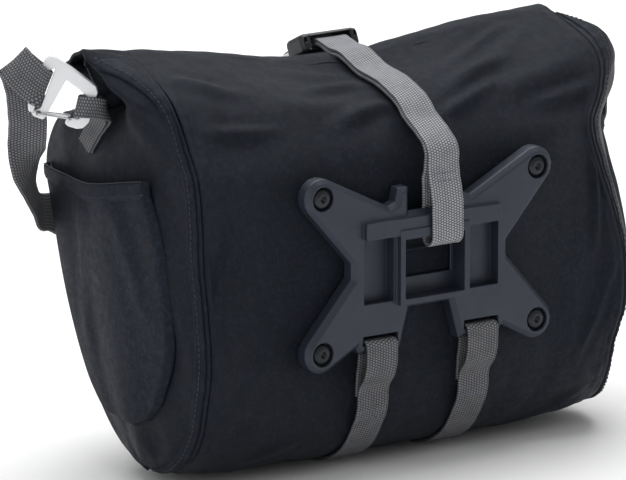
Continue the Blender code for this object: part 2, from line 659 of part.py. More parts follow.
def plate_outline():
    """The plate's cross shape, about its centre: the right half, mirrored to the left."""
    hole = (0.5 * HOLE_SPACING_X, 0.5 * HOLE_SPACING_Z)
    tip = ARM_TIP_RADIUS
    post_outer = 0.5 * SOCKET_WIDTH + SOCKET_WALL - 0.002
    post_top = 0.5 * HOLE_SPACING_Z - 0.0005
    leg_foot = -0.5 * HOLE_SPACING_Z - 0.0035
    right = [(post_outer - 0.0065, post_top - 0.013), (post_outer - 0.0065, post_top),
             (post_outer, post_top), (post_outer + 0.0018, post_top - 0.0075),
             (post_outer + 0.0060, post_top - 0.0092)]
    right += arc(hole, tip, 112, -40, 7)
    right += [(NOTCH_HALF_WIDTH, 0.0042), (NOTCH_HALF_WIDTH, -0.0042)]
    right += arc((hole[0], -hole[1]), tip, 40, -112, 7)
    right += [(LOWER_STRAP_X + 0.5 * STRAP_WIDTH + 0.0045, leg_foot + 0.0035),
              (LOWER_STRAP_X + 0.5 * STRAP_WIDTH + 0.0025, leg_foot),
              (LOWER_STRAP_X - 0.5 * STRAP_WIDTH - 0.0035, leg_foot),
              (0.5 * SOCKET_WIDTH - 0.0060, -0.5 * SOCKET_HEIGHT - SOCKET_WALL - 0.0025)]
    left = [(-x, z) for x, z in reversed(right)]
    return [(x, z + PLATE_CENTRE_HEIGHT) for x, z in right + left]


def make_plate():
    """The moulded plate: chamfered arms, cross rib, socket frame, recesses, slots and counterbores."""
    zc = PLATE_CENTRE_HEIGHT
    plate = outline_slab("mount_plate", plate_outline(), 0.0, PLATE_THICKNESS, PLATE_CHAMFER)
    half_w = 0.5 * SOCKET_WIDTH
    half_h = 0.5 * SOCKET_HEIGHT
    skin = PLATE_THICKNESS - FLOOR_THICKNESS

    frame = box("socket_frame", (-half_w - SOCKET_WALL, -SOCKET_RISE, zc - half_h - SOCKET_WALL),
                (half_w + SOCKET_WALL, skin, zc + half_h + 0.5 * SOCKET_WALL))
    combine(plate, frame, "UNION")
    rib_low = zc + half_h - 0.0015
    rib = box("cross_rib", (-half_w - 0.0245, -RIB_RISE, rib_low),
              (half_w + 0.0245, 0.002, rib_low + 0.0090))
    combine(plate, rib, "UNION")

    recess_in = half_w + SOCKET_WALL + 0.0020
    recess_out = recess_in + 0.0190
    socket = box("socket_space", (-half_w, -0.02, zc - half_h), (half_w, skin, zc + half_h - 0.004))
    combine(plate, socket, "DIFFERENCE")
    window = box("floor_window", (-half_w + 0.0015, 0.0, zc - 0.25 * SOCKET_HEIGHT),
                 (half_w - 0.0015, 0.03, zc + 0.14 * SOCKET_HEIGHT))
    combine(plate, window, "DIFFERENCE")
    for side in (-1, 1):
        inner, outer = sorted((side * recess_in, side * recess_out))
        recess = box("recess", (inner, -0.02, zc - half_h - 0.0005),
                     (outer, skin - 0.001, rib_low - 0.0004))
        combine(plate, recess, "DIFFERENCE")
        left, right = sorted((side * (LOWER_STRAP_X - 0.5 * STRAP_WIDTH - 0.0010),
                              side * (LOWER_STRAP_X + 0.5 * STRAP_WIDTH + 0.0010)))
        slot = box("strap_slot", (left, -0.02, zc - 0.5 * HOLE_SPACING_Z + FOOT_SLOT_FROM),
                   (right, 0.03, zc - 0.5 * HOLE_SPACING_Z + FOOT_SLOT_TO))
        combine(plate, slot, "DIFFERENCE")
        channel = box("strap_channel", (left, CHANNEL_FROM, zc - 0.5 * HOLE_SPACING_Z - 0.02),
                      (right, 0.03, zc - 0.5 * HOLE_SPACING_Z + 0.0030))
        combine(plate, channel, "DIFFERENCE")
    # The centre strap goes behind the bar above the socket, through the back of the plate.
    post_inner = 0.5 * SOCKET_WIDTH + SOCKET_WALL - 0.0085
    behind = box("strap_way", (-post_inner + 0.0006, BAR_BACK, zc + half_h - 0.012),
                 (CENTRE_STRAP_X + 0.5 * STRAP_WIDTH + 0.0008, 0.03, zc + half_h + 0.03))
    combine(plate, behind, "DIFFERENCE")
    for side in (-1, 1):
        for level in (-1, 1):
            centre = Vector((side * 0.5 * HOLE_SPACING_X, 0, zc + level * 0.5 * HOLE_SPACING_Z))
            bore = turned("counterbore", [(0, -0.02), (HEAD_RADIUS + COUNTERBORE_CLEARANCE, -0.02),
                                          (HEAD_RADIUS + COUNTERBORE_CLEARANCE, HEAD_HEIGHT + GAP),
                                          (SHANK_RADIUS + GAP, HEAD_HEIGHT + GAP),
                                          (SHANK_RADIUS + GAP, 0.03), (0, 0.03)], centre, 14)
            combine(plate, bore, "DIFFERENCE")
    return place(plate, PLATE_GREY, 0.55)


def turned(name, profile, centre, steps):
    """A solid turned about the Y axis: the profile's pairs are radius and Y, from near to far."""
    shape = bmesh.new()
    previous = None
    for radius, y in profile:
        if radius == 0:
            ring = [shape.verts.new(centre + Vector((0, y, 0)))]
        else:
            ring = []
            for k in range(steps):
                turn = 2 * math.pi * k / steps
                spot = Vector((radius * math.cos(turn), y, radius * math.sin(turn)))
                ring.append(shape.verts.new(centre + spot))
        if previous is not None:
            for k in range(steps):
                corners = [previous[k % len(previous)], previous[(k + 1) % len(previous)],
                           ring[(k + 1) % len(ring)], ring[k % len(ring)]]
                unique = list(dict.fromkeys(corners))
                if len(unique) > 2:
                    shape.faces.new(unique)
        previous = ring
    bmesh.ops.recalc_face_normals(shape, faces=shape.faces)
    mesh = bpy.data.meshes.new(name)
    shape.to_mesh(mesh)
    shape.free()
    return new_object(name, mesh)


def make_screws():
    """Four button-head screws with a round socket, their shanks ending inside the plate."""
    number = 0
    for level in (1, -1):
        for side in (-1, 1):
            number += 1
            centre = Vector((side * 0.5 * HOLE_SPACING_X, 0,
                             PLATE_CENTRE_HEIGHT + level * 0.5 * HOLE_SPACING_Z))
            profile = [(0, 0.0016), (SOCKET_RADIUS, 0.0016), (SOCKET_RADIUS, 0.0001),
                       (0.62 * HEAD_RADIUS, 0.0005), (0.94 * HEAD_RADIUS, 0.0018),
                       (HEAD_RADIUS, HEAD_HEIGHT), (SHANK_RADIUS, HEAD_HEIGHT),
                       (SHANK_RADIUS, PLATE_THICKNESS - GAP), (0, PLATE_THICKNESS - GAP)]
            screw = turned("plate_screw_%d" % number, profile, centre, 12)
            place(screw, SCREW_BLACK, 0.35, 0.7)


def ribbon(name, centres, widths, width, thickness, colour):
    """A flat strap: centre points and the direction of its width at each, thickened both ways."""
    centres = np.asarray(centres, float)
    widths = np.asarray(widths, float)
    widths = widths / np.linalg.norm(widths, axis=1, keepdims=True)
    points = np.stack([centres - widths * width / 2, centres + widths * width / 2], axis=1)
    obj = grid_object(name, points)
    return place(thicken(obj, thickness, 0), colour, 0.85)


def smooth_line(points, steps=24):
    """A dense smooth line through the points, steady where their spacing is uneven."""
    gaps = np.sqrt(np.maximum(np.linalg.norm(np.diff(points[:, :3], axis=0), axis=1), 1e-7))
    runs = np.diff(points, axis=0) / gaps[:, None]
    slopes = np.empty_like(points)
    slopes[0], slopes[-1] = runs[0], runs[-1]
    before, after = gaps[:-1, None], gaps[1:, None]
    slopes[1:-1] = (runs[:-1] * after + runs[1:] * before) / (before + after)
    f = np.linspace(0.0, 1.0, steps, endpoint=False)[None, :, None]
    gap = gaps[:, None, None]
    here, there = points[:-1, None], points[1:, None]
    slope_here, slope_there = slopes[:-1, None] * gap, slopes[1:, None] * gap
    line = (
        (2 * f ** 3 - 3 * f ** 2 + 1) * here + (f ** 3 - 2 * f ** 2 + f) * slope_here
        + (-2 * f ** 3 + 3 * f ** 2) * there + (f ** 3 - f ** 2) * slope_there
    )
    return np.concatenate([line.reshape(-1, points.shape[1]), points[-1:]])


def resample(points, spacing, turn_step=22.0):
    """Points along a smooth curve through the given ones, closer together where it turns."""
    dense = smooth_line(np.asarray(points, float))
    runs = np.diff(dense[:, :min(3, dense.shape[1])], axis=0)
    lengths = np.linalg.norm(runs, axis=1)
    keep = np.concatenate([[True], lengths > 1e-6])
    dense = dense[keep]
    runs = runs[keep[1:]] / lengths[keep[1:], None]
    turns = np.degrees(np.arccos(np.clip(np.sum(runs[1:] * runs[:-1], axis=1), -1, 1)))
    effort = lengths[keep[1:]] / spacing + np.concatenate([[0], turns]) / turn_step
    along = np.concatenate([[0], np.cumsum(effort)])
    count = max(4, int(round(along[-1])) + 1)
    at = np.linspace(0, along[-1], count)
    return np.stack([np.interp(at, along, dense[:, k]) for k in range(dense.shape[1])], axis=1)


def bend(y, z, radius, start, end, steps=5):
    """Points of a bend in the plane of Y and Z."""
    return [(y + radius * math.cos(math.radians(start + (end - start) * k / steps)),
             z + radius * math.sin(math.radians(start + (end - start) * k / steps)))
            for k in range(steps + 1)]


def over_panel(x, t, height):
    """Y and Z of a point above the main panel, clear by the given height across a strap's whole width."""
    across = np.array([x - 0.5 * STRAP_WIDTH, x - 0.25 * STRAP_WIDTH, x,
                       x + 0.25 * STRAP_WIDTH, x + 0.5 * STRAP_WIDTH]) / (0.5 * BAG_WIDTH)
    normal = panel_normal(np.array(t), across[2])
    spots = panel_surface(np.full(5, t), across)
    highest = float(np.max((spots - spots[2]) @ normal))
    point = spots[2] + normal * (highest + height)
    return (float(point[1]), float(point[2]))


def ridge_top(x, width):
    """The roll's frame under a strap, raised to its highest across the strap's width."""
    frames = [roll_frame(x + k * width) for k in (-0.75, -0.5, 0.0, 0.5, 0.75)]
    ridge, foot, slope, rise_dir = frames[2]
    up = max((frame[0] - ridge).y for frame in frames)
    foot_up = max((frame[1] - foot) @ rise_dir for frame in frames)
    return ridge + Vector((0, up)), foot + rise_dir * foot_up, slope, rise_dir


def make_centre_strap():
    """The doubled strap: from the buckle down over the roof, round the bar above the socket and back."""
    lift = 0.5 * STRAP_THICKNESS + GAP + STRAP_CLEARANCE
    second = lift + STRAP_THICKNESS + STRAP_CLEARANCE
    bar_low = PLATE_CENTRE_HEIGHT + 0.5 * SOCKET_HEIGHT - BAR_HEIGHT
    near = -max(SOCKET_RISE, RIB_RISE) - 0.5 * STRAP_THICKNESS - GAP
    far = BAR_BACK + 0.5 * STRAP_THICKNESS + GAP
    half_gap = 0.5 * (STRAP_THICKNESS + STRAP_CLEARANCE)
    stitch_z = PLATE_CENTRE_HEIGHT + 1.36 * SOCKET_HEIGHT
    roof_rows = (0.94, 0.92, 0.90, 0.88, 0.86, 0.84)
    crest, _, _, _ = ridge_top(CENTRE_STRAP_X, STRAP_WIDTH)
    over_roll = [crest + Vector((0.0052, 0.0054)), crest + Vector((-0.0040, 0.0050))]

    path = [buckle_point(place * BUCKLE_LENGTH, -IN_BUCKLE) for place in (0.30, -0.08, -0.42)]
    path += [tuple(spot) for spot in over_roll]
    path += [over_panel(CENTRE_STRAP_X, t, lift) for t in roof_rows]
    path += [(half_gap + 0.0030, stitch_z + 0.012), (half_gap + 0.0022, stitch_z)]
    path += [(far, bar_low + 0.031), (far, bar_low + 0.018), (far, bar_low + 0.006), (far, bar_low + 0.002)]
    path += bend(0.5 * (near + far), bar_low, 0.5 * (far - near), -20, -160, 5)
    path += [(near, bar_low + 0.003), (near, bar_low + 0.009), (near, bar_low + 0.016)]
    path += [(near + 0.0018, bar_low + 0.025), (-half_gap + 0.0004, stitch_z), (0.0010, stitch_z + 0.012)]
    path += [over_panel(CENTRE_STRAP_X, t, second + 0.0002) for t in reversed(roof_rows)]
    path += [tuple(spot + Vector((0, second - lift + 0.0004))) for spot in reversed(over_roll)]
    path += [buckle_point(place * BUCKLE_LENGTH, IN_BUCKLE) for place in (-0.42, -0.20, -0.02, 0.30)]
    centres = [(CENTRE_STRAP_X, y, z) for y, z in resample(path, STRAP_STEP)]
    widths = [(1, 0, 0)] * len(centres)
    return ribbon("centre_strap", centres, widths, STRAP_WIDTH, STRAP_THICKNESS, WEB_LIGHT)


def make_lower_strap(side, name):
    """A strap looped round the foot of the plate, run down the back, under the bag and up the front."""
    lift = 0.5 * STRAP_THICKNESS + GAP
    foot_top = PLATE_CENTRE_HEIGHT - 0.5 * HOLE_SPACING_Z + FOOT_SLOT_FROM
    near = -lift
    far = CHANNEL_FROM + lift
    turn = foot_top + lift + 0.0004
    x = side * LOWER_STRAP_X
    path = [over_panel(x, 0.645, lift), over_panel(x, 0.655, lift), (far + 0.0002, foot_top - 0.010)]
    path += [(far, foot_top - 0.0045)]
    path += bend(far - 0.0020, turn - 0.0020, 0.0020, 0, 90, 4)
    path += bend(near + 0.0020, turn - 0.0020, 0.0020, 90, 180, 4)
    path += [(near, foot_top - 0.0035), (near, foot_top - 0.008), (near + 0.0016, foot_top - 0.017)]
    second = lift + STRAP_THICKNESS + STRAP_CLEARANCE + 0.0004
    path += [over_panel(x, 0.650, second), over_panel(x, 0.640, second),
             over_panel(x, 0.632, second - 0.0003)]
    path.append(over_panel(x, 0.618, lift + 0.0004))
    path += [over_panel(x, t, lift) for t in LOWER_STRAP_ROWS]
    centres = [(x, y, z) for y, z in resample(path, STRAP_STEP)]
    widths = [(1, 0, 0)] * len(centres)
    return ribbon("lower_strap_" + name, centres, widths, STRAP_WIDTH, STRAP_THICKNESS, WEB_MID)


def buckle_frame():
    """Where the buckle lies on the roll: its axes, across, down the front and up, and its middle."""
    _, foot, slope, rise_dir = ridge_top(CENTRE_STRAP_X, BUCKLE_WIDTH)
    clear = ROLL_HEIGHT + 0.5 * BUCKLE_THICKNESS + GAP + STRAP_CLEARANCE
    spot = foot + rise_dir * clear + slope * BUCKLE_DOWN
    axes = Matrix((Vector((1, 0, 0)), Vector((0, *slope)), Vector((0, *rise_dir)))).transposed().to_4x4()
    return axes, Vector((BUCKLE_X, *spot))


def buckle_point(along, up):
    """Y and Z of a point in the buckle's own plane, from its middle."""
    axes, middle = buckle_frame()
    spot = middle + axes.to_3x3() @ Vector((0, along, up))
    return (spot.y, spot.z)


def make_buckle():
    """The buckle: a rounded channel with a slot at each end, and the bar inside that grips the strap."""
    axes, middle = buckle_frame()
    place_at = Matrix.Translation(middle) @ axes
    half = Vector((0.5 * BUCKLE_WIDTH, 0.5 * BUCKLE_LENGTH, 0.5 * BUCKLE_THICKNESS))
    body = box("buckle_body", -half, half)
    round_edges(body, 0.0030, 3)
    inner = Vector((0.5 * STRAP_WIDTH + 0.0030, half.y + 0.01, half.z - BUCKLE_WALL))
    space = box("buckle_space", -inner, inner)
    combine(body, space, "DIFFERENCE")
    for side in (-1, 1):
        x = side * (0.5 * BUCKLE_WIDTH - 0.0026)
        slot = box("end_slot", (x - 0.0007, -half.y - 0.01, 0.0005), (x + 0.0007, -half.y + 0.0022, 0.0032))
        combine(body, slot, "DIFFERENCE")
        slot.matrix_world = place_at
    space.matrix_world = place_at
    body.matrix_world = place_at
    place(body, WEB_DARK, 0.4)
    reach = inner.x - GAP
    over_strap = IN_BUCKLE + 0.5 * STRAP_THICKNESS + GAP
    bar = box("buckle_bar", (-reach, -0.0040, over_strap), (reach, 0.0020, inner.z - GAP))
    round_edges(bar, 0.0003, 1)
    bar.matrix_world = place_at
    place(bar, WEB_DARK, 0.4)


def make_closure():
    """The white ring beyond the buckle, and the strap from it down to the front of the bag."""
    axes, middle = buckle_frame()
    clear = 0.5 * RING_WIRE + 0.5 * STRAP_THICKNESS + GAP
    out = 0.5 * BUCKLE_LENGTH + RING_HALF + GAP
    low = 0.5 * BUCKLE_THICKNESS - 0.5 * RING_WIRE - STRAP_THICKNESS
    place_at = Matrix.Translation(middle + axes.to_3x3() @ Vector((0, out, -0.5 * low))) @ axes
    half_x = 0.5 * STRAP_WIDTH + RING_WIRE + 0.0008
    ring = box("closure_ring", (-half_x, -RING_HALF, -0.5 * RING_WIRE),
               (half_x, RING_HALF, 0.5 * RING_WIRE))
    round_edges(ring, 0.0010, 2)
    hole = box("ring_space", (-half_x + RING_WIRE, -RING_HALF + RING_WIRE, -0.02),
               (half_x - RING_WIRE, RING_HALF - RING_WIRE, 0.02))
    combine(ring, hole, "DIFFERENCE")
    hole.matrix_world = place_at
    ring.matrix_world = place_at
    place(ring, HOOK_WHITE, 0.35, 0.3)

    def by_ring(along, up):
        return buckle_point(out + along, up - 0.5 * low)

    inside = RING_HALF - RING_WIRE - 0.5 * STRAP_THICKNESS - GAP
    middle_of_bar = RING_HALF - 0.5 * RING_WIRE
    path = [by_ring(RING_HALF + 0.0085, -0.0030), by_ring(RING_HALF + 0.0030, -clear + 0.0002),
            by_ring(middle_of_bar, -clear), by_ring(inside + 0.0008, -0.93 * clear),
            by_ring(inside, -0.55 * clear), by_ring(inside, 0.55 * clear),
            by_ring(inside + 0.0008, 0.93 * clear), by_ring(middle_of_bar, clear),
            by_ring(RING_HALF + 0.0030, clear - 0.0004), by_ring(RING_HALF + 0.0085, 0.0002)]
    lift = 0.5 * STRAP_THICKNESS + GAP + 2 * STRAP_CLEARANCE
    path += [over_panel(BUCKLE_X, t, lift) for t in FRONT_STRAP_ROWS]
    centres = [(BUCKLE_X, y, z) for y, z in resample(path, STRAP_STEP)]
    ribbon("front_strap", centres, [(1, 0, 0)] * len(centres), STRAP_WIDTH, STRAP_THICKNESS, WEB_MID)


def round_edges(obj, width, segments):
    """Round every edge of an object, sharper than 30 degrees."""
    edge = obj.modifiers.new("rounded", "BEVEL")
    edge.width = width
    edge.segments = segments
    edge.limit_method = "ANGLE"
    edge.angle_limit = math.radians(30)
    return obj


def hook_frame(side):
    """The hook's own frame: X across it towards the bag, Z up and Y square to its faces."""
    inward = Vector((-side * 0.824, -0.566, 0)).normalized()
    square = Vector((0, 0, 1)).cross(inward)
    turn = Matrix((inward, square, Vector((0, 0, 1)))).transposed().to_4x4()
    across, depth, height = HOOK_PLACES[side]
    return Matrix.Translation((across * BAG_WIDTH, depth * BAG_DEPTH, height * BAG_HEIGHT)) @ turn


def hook_rows(side, rows, width=None):
    """Rows of the hook's tables as points and width directions of the bag: away is from the plate."""
    spots = []
    for row in rows:
        p, q, w = row[:3]
        wide_p, wide_q, wide_w = row[3:] if width is None else width
        spot = hook_frame(side) @ (Vector((p, -side * w, q)) * HOOK_SIZE)
        wide = hook_frame(side).to_3x3() @ Vector((wide_p, -side * wide_w, wide_q))
        spots.append((*spot, *wide))
    return spots


def make_hook(side, name):
    """A flat strap hook: a slotted back bar, a top arm, a bar for the webbing loop and a nose."""
    outline = [(p * HOOK_SIZE, q * HOOK_SIZE) for p, q in HOOK_OUTLINE]
    hook = outline_slab("strap_hook_" + name, outline, -0.5 * HOOK_THICKNESS, 0.5 * HOOK_THICKNESS, 0)
    slot = outline_slab("hook_slot", [(p * HOOK_SIZE, q * HOOK_SIZE) for p, q in HOOK_SLOT], -0.01, 0.01, 0)
    combine(hook, slot, "DIFFERENCE")
    slot.matrix_world = hook_frame(side)
    pivot = Vector((GATE_PIVOT[0] * HOOK_SIZE, 0, GATE_PIVOT[1] * HOOK_SIZE))
    bore = turned("gate_bore", [(0, -0.01), (0.5 * GATE_WIRE + GATE_GAP, -0.01),
                                (0.5 * GATE_WIRE + GATE_GAP, 0.01), (0, 0.01)], pivot, 12)
    combine(hook, bore, "DIFFERENCE")
    bore.matrix_world = hook_frame(side)
    hook.matrix_world = hook_frame(side)
    place(hook, HOOK_WHITE, 0.35, 0.3)

    pin = bpy.data.objects.new("gate_pivot_" + name, None)
    object_collection.objects.link(pin)
    pin.parent = root
    pin.location = hook_frame(side) @ pivot
    bpy.context.view_layer.update()
    reach_w = Vector((0, 0.5 * HOOK_THICKNESS + GATE_GAP + 0.5 * GATE_WIRE, 0))
    tip = Vector((GATE_TIP[0] * HOOK_SIZE, 0, GATE_TIP[1] * HOOK_SIZE))
    run = (tip - pivot).normalized() * GATE_BEND
    back = Vector((0, GATE_BEND, 0))
    near_half = [tip + reach_w - back, tip + reach_w - run, pivot + reach_w + run, pivot + reach_w - back,
                 pivot + Vector((0, 0.5 * GATE_GAP, 0))]
    far_half = [Vector((spot.x, -spot.y, spot.z)) for spot in near_half]
    path = list(reversed(near_half)) + far_half
    wire = wire_object("gate_wire_" + name, path, GATE_WIRE)
    wire.matrix_world = hook_frame(side)
    place(wire, STEEL, 0.3, 0.9, parent=pin)
    return pin


def wire_object(name, path, diameter):
    """A round wire along straight runs, closed at its ends."""
    curve = bpy.data.curves.new(name + "_line", "CURVE")
    curve.dimensions = "3D"
    curve.bevel_depth = 0.5 * diameter
    curve.bevel_resolution = 2
    curve.use_fill_caps = True
    line = curve.splines.new("POLY")
    line.points.add(len(path) - 1)
    for point, spot in zip(line.points, path):
        point.co = (*spot, 1.0)
    holder = new_object(name + "_line", curve)
    bpy.context.view_layer.update()
    mesh = bpy.data.meshes.new_from_object(holder.evaluated_get(bpy.context.evaluated_depsgraph_get()))
    shape = bmesh.new()
    shape.from_mesh(mesh)
    bmesh.ops.remove_doubles(shape, verts=shape.verts, dist=0.00001)
    bmesh.ops.recalc_face_normals(shape, faces=shape.faces)
    shape.to_mesh(mesh)
    shape.free()
    bpy.data.objects.remove(holder, do_unlink=True)
    return new_object(name, mesh)


def make_side_loop(side, name):
    """The narrow webbing loop that ties the hook to the gusset: a doubled tab and a turn round the bar."""
    thickness = STRAP_THICKNESS - 0.0003
    under = 0.5 * thickness + TAPE_GAP + STRAP_CLEARANCE
    over = under + thickness + STRAP_CLEARANCE

    def tab(height):
        up, c = np.array(LOOP_TAB_ROWS[side]).T
        spots = over_gusset(side, up, c, np.full(len(up), height))
        return [(*spot, *LOOP_TAB_WIDTH[side]) for spot in spots]

    first, last = (under, over) if side < 0 else (over, under)
    rows = tab(first) + hook_rows(side, LOOP_OUTER_ROWS[side])
    rows += hook_rows(side, LOOP_BAR_ROWS, LOOP_BAR_WIDTH)
    rows += hook_rows(side, LOOP_INNER_ROWS[side]) + list(reversed(tab(last)))
    path = resample(rows, STRAP_STEP)
    return ribbon("side_loop_" + name, path[:, :3], path[:, 3:], LOOP_WIDTH, thickness, WEB_MID)


def make_shoulder_strap():
    """The shoulder strap, whole: from one hook round the front of the bag to the other."""
    def on_bag(row):
        across, depth, height = row
        return (across * BAG_WIDTH, depth * BAG_DEPTH, height * BAG_HEIGHT, 0.0, 0.04, 1.0)

    rows = hook_rows(-1, STRAP_END_ROWS)
    rows += [on_bag(row) for row in (STRAP_CORNER_ROWS[-1],) + STRAP_FRONT_ROWS + (STRAP_CORNER_ROWS[1],)]
    rows += list(reversed(hook_rows(1, STRAP_END_ROWS)))
    path = resample(rows, STRAP_STEP)
    return ribbon("shoulder_strap", path[:, :3], path[:, 3:], SHOULDER_WIDTH, STRAP_THICKNESS, WEB_MID)


def finish():
    """Move the whole bag so that the origin is the middle of its footprint."""
    bpy.context.view_layer.update()
    depsgraph = bpy.context.evaluated_depsgraph_get()
    low = Vector((1e9, 1e9, 1e9))
    high = Vector((-1e9, -1e9, -1e9))
    for obj in object_collection.objects:
        if obj.type == "EMPTY":
            continue
        mesh = obj.evaluated_get(depsgraph).to_mesh()
        for vertex in mesh.vertices:
            point = obj.matrix_world @ vertex.co
            low = Vector(map(min, low, point))
            high = Vector(map(max, high, point))
        obj.evaluated_get(depsgraph).to_mesh_clear()
    middle = (low + high) / 2
    root.location = (-middle.x, -middle.y, -low.z)
    bpy.context.view_layer.update()


def main():
    start_scene()
    make_panel()
    make_roll()
    for side, name in ((-1, "left"), (1, "right")):
        make_gusset(side, name)
        make_pocket(side, name)
        make_tape(side, name)
    make_plate()
    make_screws()
    make_centre_strap()
    make_buckle()
    make_closure()
    for side, name in ((-1, "left"), (1, "right")):
        make_lower_strap(side, name)
        make_hook(side, name)
        make_side_loop(side, name)
    make_shoulder_strap()
    finish()


main()
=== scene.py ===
"""The looks of a roll-top handlebar bag: cloth, webbing, moulded plate, hooks and a plain studio."""
import json
import math

import bmesh
import bpy
import numpy as np
from bpy.props import FloatProperty, FloatVectorProperty, PointerProperty
from mathutils import Matrix, Vector

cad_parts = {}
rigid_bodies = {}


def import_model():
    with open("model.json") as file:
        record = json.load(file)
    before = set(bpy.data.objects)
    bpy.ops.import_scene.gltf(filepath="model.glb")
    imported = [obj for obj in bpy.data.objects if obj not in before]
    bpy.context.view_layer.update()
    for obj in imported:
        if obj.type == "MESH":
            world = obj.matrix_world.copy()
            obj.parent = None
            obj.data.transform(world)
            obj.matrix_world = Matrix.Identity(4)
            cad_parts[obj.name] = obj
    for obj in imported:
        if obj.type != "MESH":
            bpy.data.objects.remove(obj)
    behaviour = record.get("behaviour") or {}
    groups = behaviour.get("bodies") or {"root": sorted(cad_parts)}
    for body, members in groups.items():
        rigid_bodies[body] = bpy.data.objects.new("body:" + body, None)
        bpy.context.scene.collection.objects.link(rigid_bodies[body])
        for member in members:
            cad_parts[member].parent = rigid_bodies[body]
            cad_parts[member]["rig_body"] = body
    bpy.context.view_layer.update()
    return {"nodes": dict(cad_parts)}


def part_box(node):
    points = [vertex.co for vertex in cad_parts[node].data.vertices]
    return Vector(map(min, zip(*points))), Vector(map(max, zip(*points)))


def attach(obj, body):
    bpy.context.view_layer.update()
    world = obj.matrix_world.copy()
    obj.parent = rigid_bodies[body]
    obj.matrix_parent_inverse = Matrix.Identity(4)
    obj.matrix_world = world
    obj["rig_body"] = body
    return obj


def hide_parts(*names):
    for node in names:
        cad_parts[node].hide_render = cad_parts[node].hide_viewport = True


bl_info = {
    "name": "Handlebar bag looks",
    "version": (1, 0, 0),
    "blender": (4, 5, 0),
    "location": "View3D > Sidebar > Bag",
    "description": "Builds the visible cloth, webbing, plate and hooks of a roll-top handlebar bag",
    "category": "Object",
}

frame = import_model()
BODY = "bag"

# Driving sizes of the bag
BAG_WIDTH = 0.266
BAG_HEIGHT = 0.2220
BAG_DEPTH = 0.153
CLOTH = 0.0016
STRETCH_CLOTH = 0.0013
GAP = 0.0004
SEAM_GAP = 0.0021
PLATE_TO_CLOTH = 0.0010
POCKET_GAP = 0.0020
TAPE_GAP = 0.0010

# The mounting plate
PLATE_THICKNESS = 0.0090
PLATE_CENTRE_HEIGHT = 0.1135
HOLE_SPACING_X = 0.138
HOLE_SPACING_Z = 0.0835
SOCKET_HEIGHT = 0.036
SOCKET_RISE = 0.0036
RIB_RISE = 0.0030

# The screws' button heads
HEAD_RADIUS = 0.0057

# Webbing and straps
STRAP_WIDTH = 0.020
STRAP_THICKNESS = 0.0015
STRAP_CLEARANCE = 0.0006
SHOULDER_WIDTH = 0.0204
LOOP_WIDTH = 0.0114
CENTRE_STRAP_X = 0.0070
LOWER_STRAP_X = 0.0325

# What the straps pass: the bar above the socket, and the foot of each leg
BAR_HEIGHT = 0.0048
BAR_BACK = 0.0035
FOOT_SLOT_FROM = 0.0012
CHANNEL_FROM = 0.0058
LOWER_STRAP_ROWS = (
    0.600, 0.580, 0.560, 0.540, 0.515, 0.490, 0.465, 0.440, 0.410, 0.380, 0.350, 0.320, 0.295,
)

# The strap hook's size. Its rows below are shares of it.
HOOK_SIZE = 0.040
# The way a hook faces across itself: across and back towards the plate.
HOOK_TURN = (0.824, 0.566)
# Where the hooks are: across, deep and high, as shares of the bag's width, depth and height.
HOOK_PLACES = {-1: (-0.630075, 0.601307, 0.934234), 1: (0.635338, 0.709150, 0.698198)}

# The webbing loop on each hook. The tab's rows lie on the gusset; the free rows and the rows round the
# hook's bar are in the hook's plane and away from it, as shares of HOOK_SIZE, with the width's direction.
# Columns: up, c.
LOOP_TAB_ROWS = {
    -1: ((0.648, 0.640), (0.668, 0.615), (0.690, 0.590)),
    1: ((0.700, 0.300), (0.672, 0.300), (0.642, 0.300)),
}
LOOP_TAB_WIDTH = {-1: (0.0, -0.85, -0.50), 1: (0.0, -0.98, 0.20)}
# Columns: across, up, away, width_across, width_up, width_away.
LOOP_OUTER_ROWS = {
    -1: ((0.440, -0.435, 0.437, 0.48, -0.50, -0.70), (0.512, -0.290, 0.187, 0.30, -0.80, -0.50),
         (0.455, -0.205, -0.012, -0.10, -0.97, -0.10)),
    1: ((0.775, 0.150, -0.690, 0.45, -0.25, -0.86), (0.568, -0.010, -0.525, 0.12, -0.80, -0.59),
        (0.410, -0.120, -0.300, -0.10, -0.95, -0.25)),
}
LOOP_INNER_ROWS = {
    -1: ((0.400, -0.200, 0.110, -0.15, -0.97, -0.10), (0.440, -0.292, 0.215, 0.30, -0.80, -0.50),
         (0.390, -0.430, 0.405, 0.48, -0.50, -0.70)),
    1: ((0.385, -0.166, 0.072, -0.15, -0.95, -0.10), (0.560, -0.040, -0.210, 0.12, -0.85, -0.45),
        (0.742, 0.110, -0.510, 0.40, -0.35, -0.85)),
}
LOOP_BAR_ROWS = ((0.312, -0.166, -0.092), (0.190, -0.166, -0.088), (0.128, -0.166, -0.050),
                 (0.128, -0.166, 0.050), (0.190, -0.166, 0.088), (0.312, -0.166, 0.098))
LOOP_BAR_WIDTH = (-0.24, -0.97, 0.0)

